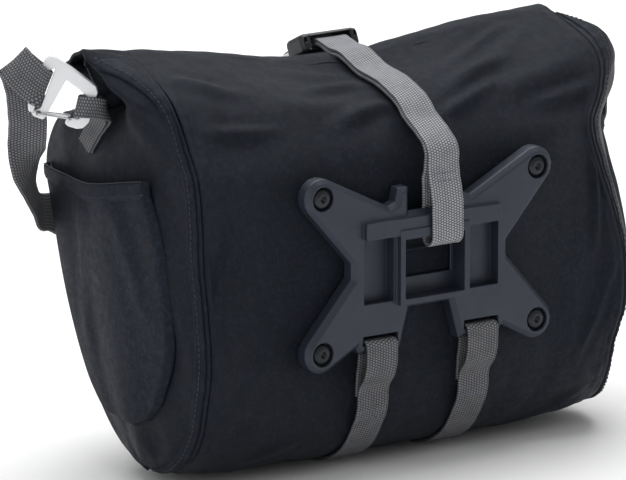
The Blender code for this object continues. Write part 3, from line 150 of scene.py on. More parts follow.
# The shoulder strap at each hook: doubled through the slot, folded over outside the hook and then led
# down behind it. Columns as for the loops.
STRAP_END_ROWS = (
    (-0.630, 0.330, 0.062, 0.66, 0.75, 0.0), (-0.475, 0.190, 0.096, 0.52, 0.85, 0.0),
    (-0.345, 0.086, 0.090, 0.38, 0.93, 0.0), (-0.302, 0.068, 0.058, 0.36, 0.935, 0.0),
    (-0.300, 0.067, -0.058, 0.36, 0.935, 0.0), (-0.345, 0.086, -0.092, 0.38, 0.93, 0.0),
    (-0.475, 0.200, -0.100, 0.52, 0.85, 0.0), (-0.612, 0.335, -0.075, 0.70, 0.71, 0.0),
    (-0.708, 0.422, 0.040, 0.746, 0.666, 0.0), (-0.645, 0.280, 0.175, 0.85, 0.53, 0.0),
    (-0.560, -0.070, 0.225, 0.98, 0.20, 0.0), (-0.538, -0.412, 0.262, 1.0, 0.02, 0.0),
    (-0.545, -0.702, 0.325, 1.0, 0.0, 0.0), (-0.565, -1.032, 0.450, 0.74, 0.05, 0.67),
    (-0.525, -1.336, 0.675, 0.33, 0.10, 0.94), (-0.480, -1.638, 1.000, 0.05, 0.35, 0.94),
    (-0.430, -1.900, 1.400, 0.0, 0.78, 0.62),
)
STRAP_CORNER_ROWS = {-1: (-0.497, 1.080, 0.563), 1: (0.497, 1.110, 0.400)}
# Columns: across, depth, height.
STRAP_FRONT_ROWS = ((-0.43, 1.125, 0.530), (-0.30, 1.130, 0.500), (0.0, 1.132, 0.462),
                    (0.30, 1.130, 0.432), (0.43, 1.130, 0.412))

# The buckle on the ridge, a channel that the strap runs through
BUCKLE_WIDTH = 0.0370
BUCKLE_LENGTH = 0.0180
BUCKLE_THICKNESS = 0.0110
BUCKLE_X = 0.0065
BUCKLE_DOWN = 0.0040
IN_BUCKLE = 0.5 * STRAP_THICKNESS + 0.0004
RING_WIRE = 0.0034
RING_HALF = 0.0062
FRONT_STRAP_ROWS = (0.118, 0.138, 0.160, 0.180, 0.205, 0.235, 0.265)

# Rows round the main panel, from the front edge of the mouth down the front, under the bag, up the
# back and over the roof. Depths and heights are shares of BAG_DEPTH and BAG_HEIGHT, at the side seams
# and in the middle; right is the share of the half width at the right seam; power tells how near the
# seams the middle's shape lasts; roof is the share of the ridge's own dip that the row takes.
# Columns: seam_depth, seam_height, mid_depth, mid_height, right, power, roof.
PANEL_ROWS = (
    (0.569, 0.955, 0.569, 0.888, 0.99, 3, 1.0),
    (0.647, 0.902, 0.650, 0.846, 0.98, 3, 0.8),
    (0.732, 0.870, 0.740, 0.828, 0.97, 3, 0.5),
    (0.824, 0.843, 0.840, 0.798, 0.95, 3, 0.2),
    (0.915, 0.817, 0.945, 0.762, 0.93, 3, 0.0),
    (0.978, 0.757, 1.008, 0.690, 0.92, 3, 0.0),
    (1.000, 0.690, 1.028, 0.600, 0.92, 3, 0.0),
    (0.967, 0.608, 1.020, 0.505, 0.94, 3, 0.0),
    (0.921, 0.498, 0.990, 0.405, 0.96, 3, 0.0),
    (0.856, 0.378, 0.935, 0.300, 0.97, 3, 0.0),
    (0.771, 0.256, 0.855, 0.198, 0.97, 4, 0.0),
    (0.673, 0.157, 0.755, 0.108, 0.97, 5, 0.0),
    (0.575, 0.090, 0.665, 0.035, 0.97, 7, 0.0),
    (0.477, 0.050, 0.575, 0.008, 0.97, 9, 0.0),
    (0.373, 0.033, 0.460, 0.007, 0.97, 10, 0.0),
    (0.268, 0.032, 0.340, 0.007, 0.97, 10, 0.0),
    (0.163, 0.054, 0.228, 0.013, 0.96, 10, 0.0),
    (0.078, 0.092, 0.130, 0.039, 0.94, 9, 0.0),
    (0.020, 0.151, 0.052, 0.088, 0.93, 8, 0.0),
    (-0.010, 0.223, 0.010, 0.160, 0.93, 7, 0.0),
    (-0.036, 0.322, 0.000, 0.277, 0.96, 5, 0.0),
    (-0.020, 0.444, 0.000, 0.430, 0.97, 5, 0.0),
    (0.007, 0.556, 0.000, 0.577, 0.94, 5, 0.0),
    (0.016, 0.664, 0.000, 0.690, 0.88, 5, 0.0),
    (0.039, 0.763, 0.018, 0.765, 0.85, 4, 0.1),
    (0.098, 0.836, 0.072, 0.826, 0.94, 3, 0.3),
    (0.150, 0.896, 0.144, 0.869, 0.99, 3, 0.6),
    (0.216, 0.943, 0.242, 0.900, 1.00, 3, 0.9),
    (0.314, 0.976, 0.353, 0.911, 1.00, 3, 1.0),
    (0.418, 0.989, 0.444, 0.919, 1.00, 3, 1.0),
    (0.490, 0.992, 0.497, 0.920, 1.00, 3, 1.0),
)
# The row in the middle of the bottom, and how far from it, round the panel, a gusset's lowest row starts.
BOTTOM_ROW = 14.5
GUSSET_FOOT = 0.012

# How far the ridge has risen from its dip in the middle towards the height of the left seam.
# Columns: across, risen.
RIDGE_ROWS = (
    (-1.00, 1.00), (-0.85, 0.95), (-0.47, 0.46), (-0.18, 0.06),
    (0.10, 0.00), (0.50, 0.42), (0.80, 0.62), (1.00, 0.70),
)

# Where the centre strap bites into the roof.
STRAP_DENT_DEPTH = 0.0025
STRAP_DENT_HALF_WIDTH = 0.016

# The panel's length round it over half its width, so that folds and creases are as wide both ways.
ROUND_SCALE = 4.2

# Raised folds on the main panel: start and end across (share of the half width) and round (share of
# the rows), the rise and the half width as shares of the bag's width.
# Columns: across_0, round_0, across_1, round_1, rise, half_width.
FOLD_ROWS = (
    (0.22, 0.865, 0.86, 0.955, 0.0085, 0.030),
    (0.28, 0.845, 0.97, 0.885, 0.0085, 0.028),
    (-0.62, 0.880, -0.05, 0.862, 0.0075, 0.030),
    (-0.40, 0.945, 0.00, 0.930, 0.0065, 0.028),
    (-0.95, 0.625, -0.74, 0.672, 0.0080, 0.024),
    (0.55, 0.805, 0.98, 0.800, 0.0065, 0.034),
    (-0.60, 0.300, 0.55, 0.260, 0.0080, 0.050),
)

# Rows up each gusset. Places are shares of the row's own length from the back seam to the front one;
# outs are shares of BAG_WIDTH beyond the seams; the lift raises the folded ear, as a share of BAG_HEIGHT.
# Columns: up, back_at, back_out, mid_out, front_at, front_out, lift.
GUSSET_ROWS = {
    -1: (
        (0.00, 0.30, 0.012, 0.012, 0.70, 0.012, 0.000),
        (0.12, 0.28, 0.026, 0.030, 0.72, 0.018, 0.000),
        (0.30, 0.28, 0.030, 0.037, 0.75, 0.018, 0.000),
        (0.50, 0.28, 0.030, 0.036, 0.78, 0.015, 0.000),
        (0.62, 0.32, 0.028, 0.030, 0.80, 0.014, 0.000),
        (0.72, 0.30, 0.022, 0.006, 0.85, 0.012, 0.012),
        (0.80, 0.30, 0.030, -0.026, 0.86, 0.010, 0.004),
        (0.87, 0.28, 0.044, -0.020, 0.80, 0.012, 0.000),
        (0.935, 0.26, 0.055, 0.030, 0.72, 0.032, 0.000),
        (1.00, 0.40, 0.058, 0.057, 0.60, 0.056, 0.002),
    ),
    1: (
        (0.00, 0.30, 0.012, 0.012, 0.70, 0.012, 0.000),
        (0.12, 0.28, 0.046, 0.050, 0.72, 0.030, 0.000),
        (0.30, 0.26, 0.060, 0.064, 0.75, 0.038, 0.000),
        (0.50, 0.26, 0.080, 0.082, 0.78, 0.046, 0.000),
        (0.62, 0.28, 0.112, 0.100, 0.80, 0.054, 0.000),
        (0.70, 0.26, 0.112, 0.078, 0.82, 0.042, 0.004),
        (0.77, 0.20, 0.092, 0.040, 0.84, 0.030, 0.008),
        (0.84, 0.18, 0.078, 0.016, 0.84, 0.022, 0.010),
        (0.92, 0.24, 0.038, 0.016, 0.80, 0.020, 0.006),
        (1.00, 0.40, 0.008, 0.008, 0.60, 0.008, 0.000),
    ),
}

# The side pocket on a gusset: rows up it, with where it starts and ends along the gusset's row.
# Columns: up, back_at, front_at.
POCKET_ROWS = (
    (0.205, 0.50, 0.80), (0.225, 0.36, 0.88), (0.265, 0.25, 0.94),
    (0.36, 0.165, 0.975), (0.48, 0.16, 0.975), (0.54, 0.20, 0.975), (0.575, 0.23, 0.975),
)
POCKET_SAG = ((0.0, 0.000), (0.5, -0.026), (1.0, -0.016))
POCKET_FULLNESS = 0.0022
HEM_HEIGHT = 0.0080
HEM_EXTRA = 0.0009
TAPE_WIDTH = 0.0065

# The rolled mouth: how far it reaches beyond the seams and down the front, its curl inside, how far
# down the front its foot lies, and how the ridge rises beyond the left seam.
ROLL_LEFT_REACH = 0.0175
ROLL_RIGHT_REACH = 0.0030
ROLL_DROP = 0.024
ROLL_END_DROP = 0.009
ROLL_HEIGHT = 0.0078
ROLL_CLEARANCE = 0.0011
ROLL_REACH_ROW = 0.062
ROLL_CURL = 0.0029
ROLL_FOOT_DOWN = 0.0015
RIDGE_BEYOND = 0.13
ROLL_START = ((-0.0055, 0.0018), (0.0, 0.0032), (0.0062, 0.0036))


def smooth_between(rows, place_in_rows):
    """Values on a smooth curve through the rows, at places counted in rows."""
    table = np.asarray(rows, float)
    where = np.clip(np.asarray(place_in_rows, float), 0.0, len(table) - 1.0)
    index = np.minimum(where.astype(int), len(table) - 2)
    f = (where - index)[..., None]
    before = table[np.maximum(index - 1, 0)]
    here = table[index]
    there = table[index + 1]
    after = table[np.minimum(index + 2, len(table) - 1)]
    slope_here = 0.5 * (there - before)
    slope_there = 0.5 * (after - here)
    f2 = f * f
    f3 = f2 * f
    return (
        (2 * f3 - 3 * f2 + 1) * here + (f3 - 2 * f2 + f) * slope_here
        + (-2 * f3 + 3 * f2) * there + (f3 - f2) * slope_there
    )


def look_up(rows, value):
    """Smoothly interpolate a table whose first column rises, at the given values of that column."""
    table = np.asarray(rows, float)
    spot = np.interp(value, table[:, 0], np.arange(len(table)))
    return smooth_between(table, spot)


def rise(x):
    """A step from 0 to 1 with level ends."""
    x = np.clip(x, 0.0, 1.0)
    return x * x * (3 - 2 * x)


def panel_base(t, s):
    """The main panel without its folds: t runs round it, s from the left seam to the right one."""
    t, s = np.broadcast_arrays(np.asarray(t, float), np.asarray(s, float))
    row = smooth_between(PANEL_ROWS, t * (len(PANEL_ROWS) - 1))
    seam_depth, seam_height, mid_depth, mid_height, right, power, roof = np.moveaxis(row, -1, 0)
    ridge = look_up(RIDGE_ROWS, s)[..., 1]
    spread = (1 - roof) * np.abs(s) ** power + roof * ridge
    depth_spread = np.abs(s) ** power
    x = 0.5 * BAG_WIDTH * s * np.where(s > 0, 1 + (right - 1) * np.abs(s) ** 3, 1.0)
    y = PLATE_THICKNESS + PLATE_TO_CLOTH + BAG_DEPTH * (mid_depth + (seam_depth - mid_depth) * depth_spread)
    z = BAG_HEIGHT * (mid_height + (seam_height - mid_height) * spread)
    off_strap = (x - CENTRE_STRAP_X) / STRAP_DENT_HALF_WIDTH
    z = z - STRAP_DENT_DEPTH * roof * np.exp(-off_strap ** 4)
    return np.stack([x, y, z], axis=-1)


def surface_normal(surface, a, b, step=0.004):
    """Unit normals of a surface of two parameters, pointing along da x db."""
    da = surface(a + step, b) - surface(a - step, b)
    db = surface(a, b + step) - surface(a, b - step)
    normal = np.cross(da, db)
    return normal / np.maximum(np.linalg.norm(normal, axis=-1, keepdims=True), 1e-12)


def panel_normal(t, s):
    """Outward normals of the main panel."""
    inside = np.clip(t, 0.004, 0.996)
    return -surface_normal(panel_base, inside, np.clip(s, -0.99, 0.99))


def panel_surface(t, s):
    """The main panel's outer face with its folds raised on it."""
    t, s = np.broadcast_arrays(np.asarray(t, float), np.asarray(s, float))
    base = panel_base(t, s)
    height = np.zeros_like(t)
    for across_0, round_0, across_1, round_1, rise_share, half_width in FOLD_ROWS:
        line = np.array([across_1 - across_0, (round_1 - round_0) * ROUND_SCALE])
        off = np.stack([s - across_0, (t - round_0) * ROUND_SCALE], axis=-1)
        along = np.clip((off @ line) / (line @ line), 0.0, 1.0)
        apart = np.linalg.norm(off - along[..., None] * line, axis=-1)
        ends = np.sin(np.pi * np.clip(along, 0.02, 0.98)) ** 0.5
        height += rise_share * ends * np.exp(-(apart * 0.5 / half_width) ** 2)
    flat_edge = rise((1 - np.abs(s)) * 10)
    return base + panel_normal(t, s) * (height * flat_edge * BAG_WIDTH)[..., None]


def edge_point(t, side):
    """The panel's edge at a side seam, drawn in by one wall, where the gusset joins it."""
    inward = -panel_normal(np.asarray(t, float), float(side)) * CLOTH
    inward[..., 0] = 0.0
    point = panel_base(t, float(side)) + inward
    point[..., 0] += side * SEAM_GAP
    return point


def gusset_surface(side, up, c):
    """The gusset's inner face: up runs from the bottom to the mouth, c from the back seam to the front."""
    up, c = np.broadcast_arrays(np.asarray(up, float), np.asarray(c, float))
    _, back_at, back_out, mid_out, front_at, front_out, lift = np.moveaxis(
        look_up(GUSSET_ROWS[side], up), -1, 0)
    low = BOTTOM_ROW / (len(PANEL_ROWS) - 1)
    back = edge_point(low + GUSSET_FOOT + (1 - low - GUSSET_FOOT) * up, side)
    front = edge_point((low - GUSSET_FOOT) * (1 - up), side)
    point = back + (front - back) * c[..., None]
    from_back = np.sin(0.5 * np.pi * np.clip(c / back_at, 0, 1))
    from_front = np.sin(0.5 * np.pi * np.clip((1 - c) / (1 - front_at), 0, 1))
    out = back_out * from_back
    out = out + (mid_out - back_out) * rise((c - back_at) / (0.5 - back_at))
    out = out + (front_out - mid_out) * rise((c - 0.5) / (front_at - 0.5))
    out = out - front_out * (1 - from_front) * (c > front_at)
    point[..., 0] += side * BAG_WIDTH * out
    point[..., 2] += BAG_HEIGHT * lift * from_back * from_front
    return point


def gusset_normal(side, up, c):
    """Outward normals of a gusset."""
    def surface(a, b):
        return gusset_surface(side, a, b)
    normal = surface_normal(surface, np.clip(up, 0.01, 0.99), np.clip(c, 0.005, 0.995))
    return normal if side < 0 else -normal


def over_gusset(side, up, c, height):
    """Points a given height above the gusset's outer face."""
    return gusset_surface(side, up, c) + gusset_normal(side, up, c) * (CLOTH + height)[..., None]


def pocket_limits(up):
    """Where the pocket starts and ends along the gusset's row."""
    return np.moveaxis(look_up(POCKET_ROWS, up), -1, 0)[1:]


def ridge_line(x, row=1.0):
    """Where the roof ends under the roll, or another row, for any X, carried on past the seams."""
    half = 0.5 * BAG_WIDTH
    point = panel_base(row, np.clip(x / half, -1.0, 1.0))
    beyond = np.maximum(-x - half, 0.0)
    point[..., 0] = x
    point[..., 2] += beyond * RIDGE_BEYOND
    return point


def roll_frame(x):
    """For a place across: the roof's end, and the roll's foot, slope and rise over the front."""
    ridge = ridge_line(np.array(x))[1:]
    mouth = ridge_line(np.array(x), 0.0)[1:]
    lower = ridge_line(np.array(x), ROLL_REACH_ROW)[1:]
    slope = Vector(lower - mouth).normalized()
    rise_dir = Vector((-slope.y, slope.x))
    foot = Vector(mouth) + rise_dir * ROLL_CLEARANCE + slope * ROLL_FOOT_DOWN
    return Vector(ridge), foot, slope, rise_dir


def roll_section(x, drop):
    """Middle line of the rolled mouth at a place across, as pairs of Y and Z."""
    ridge, foot, slope, rise_dir = roll_frame(x)
    outer = ROLL_HEIGHT - 0.5 * CLOTH
    inner = 0.5 * CLOTH
    curl = inner + ROLL_CURL

    def at(a, b):
        return foot + slope * a + rise_dir * b

    shoulder = at(0.0005, outer)
    path = [ridge + Vector(spot) for spot in ROLL_START]
    path += [(path[-1] * 0.45 + shoulder * 0.55) + Vector((0.0004, 0.0006)), shoulder,
             at(0.5 * drop, outer), at(drop, outer)]
    middle = 0.5 * (outer + inner)
    radius = 0.5 * (outer - inner)
    for k in range(1, 4):
        turn = math.pi * k / 4
        path.append(at(drop + radius * math.sin(turn), middle + radius * math.cos(turn)))
    path.append(at(drop, inner))
    path.append(at(0.003, inner))
    radius = 0.5 * (curl - inner)
    middle = inner + radius
    for k in range(1, 4):
        turn = math.pi * k / 4
        path.append(at(0.003 - radius * math.sin(turn), middle - radius * math.cos(turn)))
    path.append(at(0.003, curl))
    path.append(at(0.45 * drop, curl))
    path.append(at(0.8 * drop, curl))
    return path


def smooth_line(points, steps=24):
    """A dense smooth line through the points, steady where their spacing is uneven."""
    gaps = np.sqrt(np.maximum(np.linalg.norm(np.diff(points[:, :3], axis=0), axis=1), 1e-7))
    runs = np.diff(points, axis=0) / gaps[:, None]
    slopes = np.empty_like(points)
    slopes[0], slopes[-1] = runs[0], runs[-1]
    before, after = gaps[:-1, None], gaps[1:, None]
    slopes[1:-1] = (runs[:-1] * after + runs[1:] * before) / (before + after)
    f = np.linspace(0.0, 1.0, steps, endpoint=False)[None, :, None]
    gap = gaps[:, None, None]
    here, there = points[:-1, None], points[1:, None]
    slope_here, slope_there = slopes[:-1, None] * gap, slopes[1:, None] * gap
    line = (
        (2 * f ** 3 - 3 * f ** 2 + 1) * here + (f ** 3 - 2 * f ** 2 + f) * slope_here
        + (-2 * f ** 3 + 3 * f ** 2) * there + (f ** 3 - f ** 2) * slope_there
    )
    return np.concatenate([line.reshape(-1, points.shape[1]), points[-1:]])


def resample(points, spacing, turn_step=22.0):
    """Points along a smooth curve through the given ones, closer together where it turns."""
    dense = smooth_line(np.asarray(points, float))
    runs = np.diff(dense[:, :min(3, dense.shape[1])], axis=0)
    lengths = np.linalg.norm(runs, axis=1)
    keep = np.concatenate([[True], lengths > 1e-6])
    dense = dense[keep]
    runs = runs[keep[1:]] / lengths[keep[1:], None]
    turns = np.degrees(np.arccos(np.clip(np.sum(runs[1:] * runs[:-1], axis=1), -1, 1)))
    effort = lengths[keep[1:]] / spacing + np.concatenate([[0], turns]) / turn_step
    along = np.concatenate([[0], np.cumsum(effort)])
    count = max(4, int(round(along[-1])) + 1)
    at = np.linspace(0, along[-1], count)
    return np.stack([np.interp(at, along, dense[:, k]) for k in range(dense.shape[1])], axis=1)


def bend(y, z, radius, start, end, steps=5):
    """Points of a bend in the plane of Y and Z."""
    return [(y + radius * math.cos(math.radians(start + (end - start) * k / steps)),
             z + radius * math.sin(math.radians(start + (end - start) * k / steps)))
            for k in range(steps + 1)]


def over_panel(x, t, height):
    """Y and Z of a point above the main panel, clear by the given height across a strap's whole width."""
    across = np.array([x - 0.5 * STRAP_WIDTH, x - 0.25 * STRAP_WIDTH, x,
                       x + 0.25 * STRAP_WIDTH, x + 0.5 * STRAP_WIDTH]) / (0.5 * BAG_WIDTH)
    normal = panel_normal(np.array(t), across[2])
    spots = panel_surface(np.full(5, t), across)
    highest = float(np.max((spots - spots[2]) @ normal))
    point = spots[2] + normal * (highest + height)
    return (float(point[1]), float(point[2]))


def ridge_top(x, width):
    """The roll's frame under a strap, raised to its highest across the strap's width."""
    frames = [roll_frame(x + k * width) for k in (-0.75, -0.5, 0.0, 0.5, 0.75)]
    ridge, foot, slope, rise_dir = frames[2]
    up = max((frame[0] - ridge).y for frame in frames)
    foot_up = max((frame[1] - foot) @ rise_dir for frame in frames)
    return ridge + Vector((0, up)), foot + rise_dir * foot_up, slope, rise_dir


def buckle_frame():
    """Where the buckle lies on the roll: its axes, across, down the front and up, and its middle."""
    _, foot, slope, rise_dir = ridge_top(CENTRE_STRAP_X, BUCKLE_WIDTH)
    clear = ROLL_HEIGHT + 0.5 * BUCKLE_THICKNESS + GAP + STRAP_CLEARANCE
    spot = foot + rise_dir * clear + slope * BUCKLE_DOWN
    axes = Matrix((Vector((1, 0, 0)), Vector((0, *slope)), Vector((0, *rise_dir)))).transposed().to_4x4()
    return axes, Vector((BUCKLE_X, *spot))


def buckle_point(along, up):
    """Y and Z of a point in the buckle's own plane, from its middle."""
    axes, middle = buckle_frame()
    spot = middle + axes.to_3x3() @ Vector((0, along, up))
    return (spot.y, spot.z)


def hook_frame(side):
    """The hook's own frame: X across it towards the bag, Z up and Y square to its faces."""
    inward = Vector((-side * HOOK_TURN[0], -HOOK_TURN[1], 0)).normalized()
    square = Vector((0, 0, 1)).cross(inward)
    turn = Matrix((inward, square, Vector((0, 0, 1)))).transposed().to_4x4()
    across, depth, height = HOOK_PLACES[side]
    return Matrix.Translation((across * BAG_WIDTH, depth * BAG_DEPTH, height * BAG_HEIGHT)) @ turn


def hook_rows(side, rows, width=None):
    """Rows of the hook's tables as points and width directions of the bag: away is from the plate."""
    spots = []
    for row in rows:
        p, q, w = row[:3]
        wide_p, wide_q, wide_w = row[3:] if width is None else width
        spot = hook_frame(side) @ (Vector((p, -side * w, q)) * HOOK_SIZE)
        wide = hook_frame(side).to_3x3() @ Vector((wide_p, -side * wide_w, wide_q))
        spots.append((*spot, *wide))
    return spots


# Finer relief than the solids have. Creases on the main panel and on the gussets: start and end, across
# and round or up and along, then the height in metres and the half width as a share.
PANEL_CREASES = (
    (0.16, 0.838, 0.50, 0.872, 0.0024, 0.030), (0.34, 0.905, 0.78, 0.968, 0.0028, 0.034),
    (0.62, 0.832, 0.98, 0.842, 0.0024, 0.030), (-0.92, 0.852, -0.60, 0.846, 0.0020, 0.030),
    (-0.98, 0.930, -0.66, 0.895, 0.0020, 0.034), (-0.36, 0.900, -0.05, 0.915, 0.0024, 0.032),
    (-0.34, 0.845, -0.02, 0.872, 0.0022, 0.034), (0.30, 0.880, 0.62, 0.905, 0.0018, 0.030),
    (-0.99, 0.700, -0.86, 0.760, 0.0014, 0.018), (0.86, 0.700, 0.99, 0.776, 0.0018, 0.020),
    (0.80, 0.640, 0.98, 0.700, 0.0015, 0.022), (-0.80, 0.575, -0.55, 0.610, 0.0012, 0.026),
    (0.58, 0.560, 0.88, 0.600, 0.0015, 0.028), (-0.16, 0.552, 0.14, 0.548, 0.0008, 0.020),
    (-0.70, 0.140, -0.30, 0.210, 0.0016, 0.030), (0.25, 0.150, 0.70, 0.220, 0.0016, 0.030),
    (-0.95, 0.090, -0.60, 0.110, 0.0014, 0.022), (0.55, 0.095, 0.95, 0.080, 0.0014, 0.022),
)
GUSSET_CREASES = (
    (0.30, 0.08, 0.58, 0.22, 0.0012, 0.035), (0.62, 0.10, 0.80, 0.46, 0.0016, 0.030),
    (0.70, 0.90, 0.84, 0.60, 0.0016, 0.030), (0.10, 0.30, 0.20, 0.60, 0.0012, 0.040),
    (0.66, 0.30, 0.62, 0.70, 0.0012, 0.035), (0.90, 0.20, 0.84, 0.44, 0.0012, 0.028),
)
# The dip on both sides of a crease, and how far from its middle it lies, in half widths.
CREASE_DIP = 0.42
CREASE_DIP_AT = 1.9

# Puckers at the panel's seams: rise, number round the panel and reach as a share of the half width, then
# the welded band's rise, middle and half width, as shares too, and how far the whole face is let down.
PANEL_PUCKER = 0.00026
PANEL_PUCKER_COUNT = 46.0
PANEL_PUCKER_REACH = 0.045
WELD_RISE = 0.00045
WELD_AT = 0.035
WELD_HALF_WIDTH = 0.018
PANEL_SETTLE = 0.0004
# Puckers at the gussets' seams, in the same way.
GUSSET_PUCKER = 0.00022
GUSSET_PUCKER_COUNT = 26.0
GUSSET_PUCKER_REACH = 0.07
GUSSET_SETTLE = 0.0003

# The panel's edge turned in at a seam, in three rows: how far the last laps over the gap, how far out
# the first lies, how deep each lies, and the share of the gap that the second takes.
SEAM_LAP = 0.0005
TURN_OUT = 0.0010
TURN_IN = (0.00012, 0.00060, 0.0016)
TURN_SHARE = 0.6

# The ridge's rise: of the whole roof towards the roll, where it starts, and more at the left end.
RIDGE_SWELL = 0.0036
RIDGE_SWELL_FROM = 0.925
LEFT_LIFT = 0.0016
LEFT_LIFT_FROM = 0.72
LEFT_LIFT_ROUND = 0.90
# The rise under the buckle, with its middle and half width.
BUCKLE_LIFT = 0.0026
BUCKLE_LIFT_X = -0.003
BUCKLE_LIFT_WIDTH = 0.014
BUCKLE_LIFT_FROM = 0.93

# The left ear: how far it is drawn out, up and towards the photograph's camera, from which height it
# grows and where along the gusset's row its crest is; the lip is the roll's drop over it.
EAR_OUT = 0.0090
EAR_UP = 0.0125
EAR_LIP = 0.0042
EAR_PULL = 0.0150
EAR_FROM = 0.80
EAR_CREST = 0.33
TO_CAMERA = (-0.551, -0.802, 0.232)

# The roll: its longer left end, over how many times its reach the drop tapers there and to what share of
# the end's drop, and how far its start is let down on the roof.
ROLL_LEFT_MORE = 0.0078
ROLL_TAPER = 2.1
ROLL_END_SHARE = 0.6
ROLL_SETTLE = 0.0009

# Points of the grids, round or up and across or along.
PANEL_GRID = (230, 150)
GUSSET_GRID = (120, 100)
POCKET_GRID = (70, 70)
HEM_POINTS = 18
TAPE_GRID = (150, 12)
ROLL_STATIONS = 130
ROLL_POINTS = 110
STRAP_FINE_STEP = 0.0022
LOOP_FINE_STEP = 0.0016
STRAP_FINE_TURN = 7.0

# What each surface's map stands for, in metres: along or across it first, then round or up it.
PANEL_MAP_ROUND = 0.74
PANEL_MAP_LAP = 0.001
GUSSET_MAP = (0.15, 0.30)
POCKET_MAP = (0.11, 0.13)
ROLL_MAP_ROUND = 0.09

# The pocket's own creases, how square its bulge is and how much of a half wave it rises, its ripple, its
# sewn rim and wall, then the hem's rim, wall and reach below and above the pocket's top, as shares of
# the gusset's height, whose height over the bag's is the scale.
POCKET_CREASES = ((0.55, 0.16, 0.96, 0.30, 0.0012, 0.05), (0.35, 0.80, 0.90, 0.62, 0.0010, 0.05))
BULGE_POWER = 0.7
BULGE_WAVE = 0.62
POCKET_RIPPLE = 0.0007
POCKET_RIM = 0.0007
POCKET_WALL = 0.0010
HEM_RIM = 0.0010
HEM_WALL = 0.0018
HEM_BELOW = 0.010
HEM_ABOVE = 0.011
HEM_SCALE = 1.55

# The welded tape: where it starts beside the seam, how much wider it is drawn, and its rise.
TAPE_START = 0.0022
TAPE_MORE = 0.0008
TAPE_LOW = 0.0002
TAPE_RISE = 0.0008
TAPE_WALL = 0.0009

# Webbing: the selvedge's thickening and where it starts, the faint cup, and the edge's unevenness.
LOOP_THINNER = 0.0003
SELVEDGE_MORE = 0.13
SELVEDGE_FROM = 0.86
WEBBING_CUP = 0.05
# Columns: height, turns a metre in radians, phase.
WEBBING_WOBBLE = ((0.00012, 310.0, 0.0), (0.00009, 747.0, 1.3))

# A screw head from the socket's floor to its underside. On a hexagon row the radius is a share of it.
# Columns: radius, depth, on_hexagon.
HEX_HALF_ACROSS = 0.00165
SCREW_ROWS = (
    (0.0004, 0.0017, 0), (1.0, 0.0017, 1), (1.0, 0.00012, 1), (1.09, 0.0, 1), (0.0032, 0.00012, 0),
    (0.0043, 0.00055, 0), (0.0051, 0.0012, 0), (0.0056, 0.0021, 0), (HEAD_RADIUS, 0.0027, 0),
    (HEAD_RADIUS, 0.0031, 0), (0.0040, 0.0032, 0),
)

# Thread: its radius, a stitch's length and pitch on the seams, the hems and the straps, and its places.
THREAD_RADIUS = 0.00033
SEAM_STITCH_LENGTH = 0.0021
STRAP_STITCH_LENGTH = 0.0014
SEAM_PITCH = 0.0031
HEM_PITCH = 0.0026
STRAP_PITCH = 0.0019
SEAM_STITCH_INSET = 0.0060
SEAM_STITCH_HEIGHT = 0.0011
HEM_STITCH_LEVELS = (-0.0040, 0.0200)
HEM_STITCH_START = 0.004
HEM_STITCH_SUNK = 0.0003
CENTRE_STITCH_HEIGHTS = (0.1616, 0.1576)
LOWER_STITCH_HEIGHTS = ((-1, 0.0342), (1, 0.0384), (-1, 0.0300), (1, 0.0342))
STRAP_STITCH_HALF = 0.0085
BACK_DEPTH = 0.030


class BagFinish(bpy.types.PropertyGroup):
    """Colours and small sizes of the bag's surfaces."""

    cloth: FloatVectorProperty(
        name="Cloth", description="Coated cloth of the body", subtype="COLOR",
        default=(0.0054, 0.0064, 0.0104), min=0, max=1)
    stretch: FloatVectorProperty(
        name="Stretch cloth", description="Cloth of the side pockets", subtype="COLOR",
        default=(0.0066, 0.0080, 0.0130), min=0, max=1)
    plate: FloatVectorProperty(
        name="Plate", description="Moulded mounting plate", subtype="COLOR",
        default=(0.0180, 0.0210, 0.0320), min=0, max=1)
    # Painted light: the roof straps' webbing is the same grey webbing as the rest, painted lighter where the
    # top light falls on it.
    painted_lit_strap: FloatVectorProperty(
        name="Painted lit grey webbing", description="Webbing that catches the light on the roof", subtype="COLOR",
        default=(0.215, 0.218, 0.232), min=0, max=1)
    # Painted shade: the other straps' webbing is painted darker for the shade they lie in.
    painted_shade_strap: FloatVectorProperty(
        name="Painted shade grey webbing", description="Webbing of the other straps", subtype="COLOR",
        default=(0.080, 0.081, 0.087), min=0, max=1)
    hook: FloatVectorProperty(
        name="Hook", description="White metal of the hooks and the ring", subtype="COLOR",
        default=(0.84, 0.85, 0.87), min=0, max=1)
    weave_pitch: FloatProperty(
        name="Weave pitch", description="Distance between threads of the cloth", unit="LENGTH",
        default=0.00055, min=0.0002, max=0.003)


class BagStudio(bpy.types.PropertyGroup):
    """Lights and floor of the studio."""

    top_power: FloatProperty(
        name="Top light", description="Power of the large light above", subtype="POWER",
        default=92.0, min=0)
    front_power: FloatProperty(
        name="Front light", description="Power of the light on the left in front", subtype="POWER",
        default=12.0, min=0)
    side_power: FloatProperty(
        name="Side light", description="Power of the light on the right", subtype="POWER",
        default=1.5, min=0)
    room: FloatProperty(
        name="Room", description="Brightness of the pale room", default=0.42, min=0)


def bag_shift():
    """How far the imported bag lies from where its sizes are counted: read from the plate and a screw."""
    plate_low, plate_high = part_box("mount_plate")
    screw_low, screw_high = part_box("plate_screw_1")
    return np.array((
        0.5 * (plate_low.x + plate_high.x),
        plate_low.y + SOCKET_RISE,
        0.5 * (screw_low.z + screw_high.z) - PLATE_CENTRE_HEIGHT - 0.5 * HOLE_SPACING_Z))


SHIFT = bag_shift()


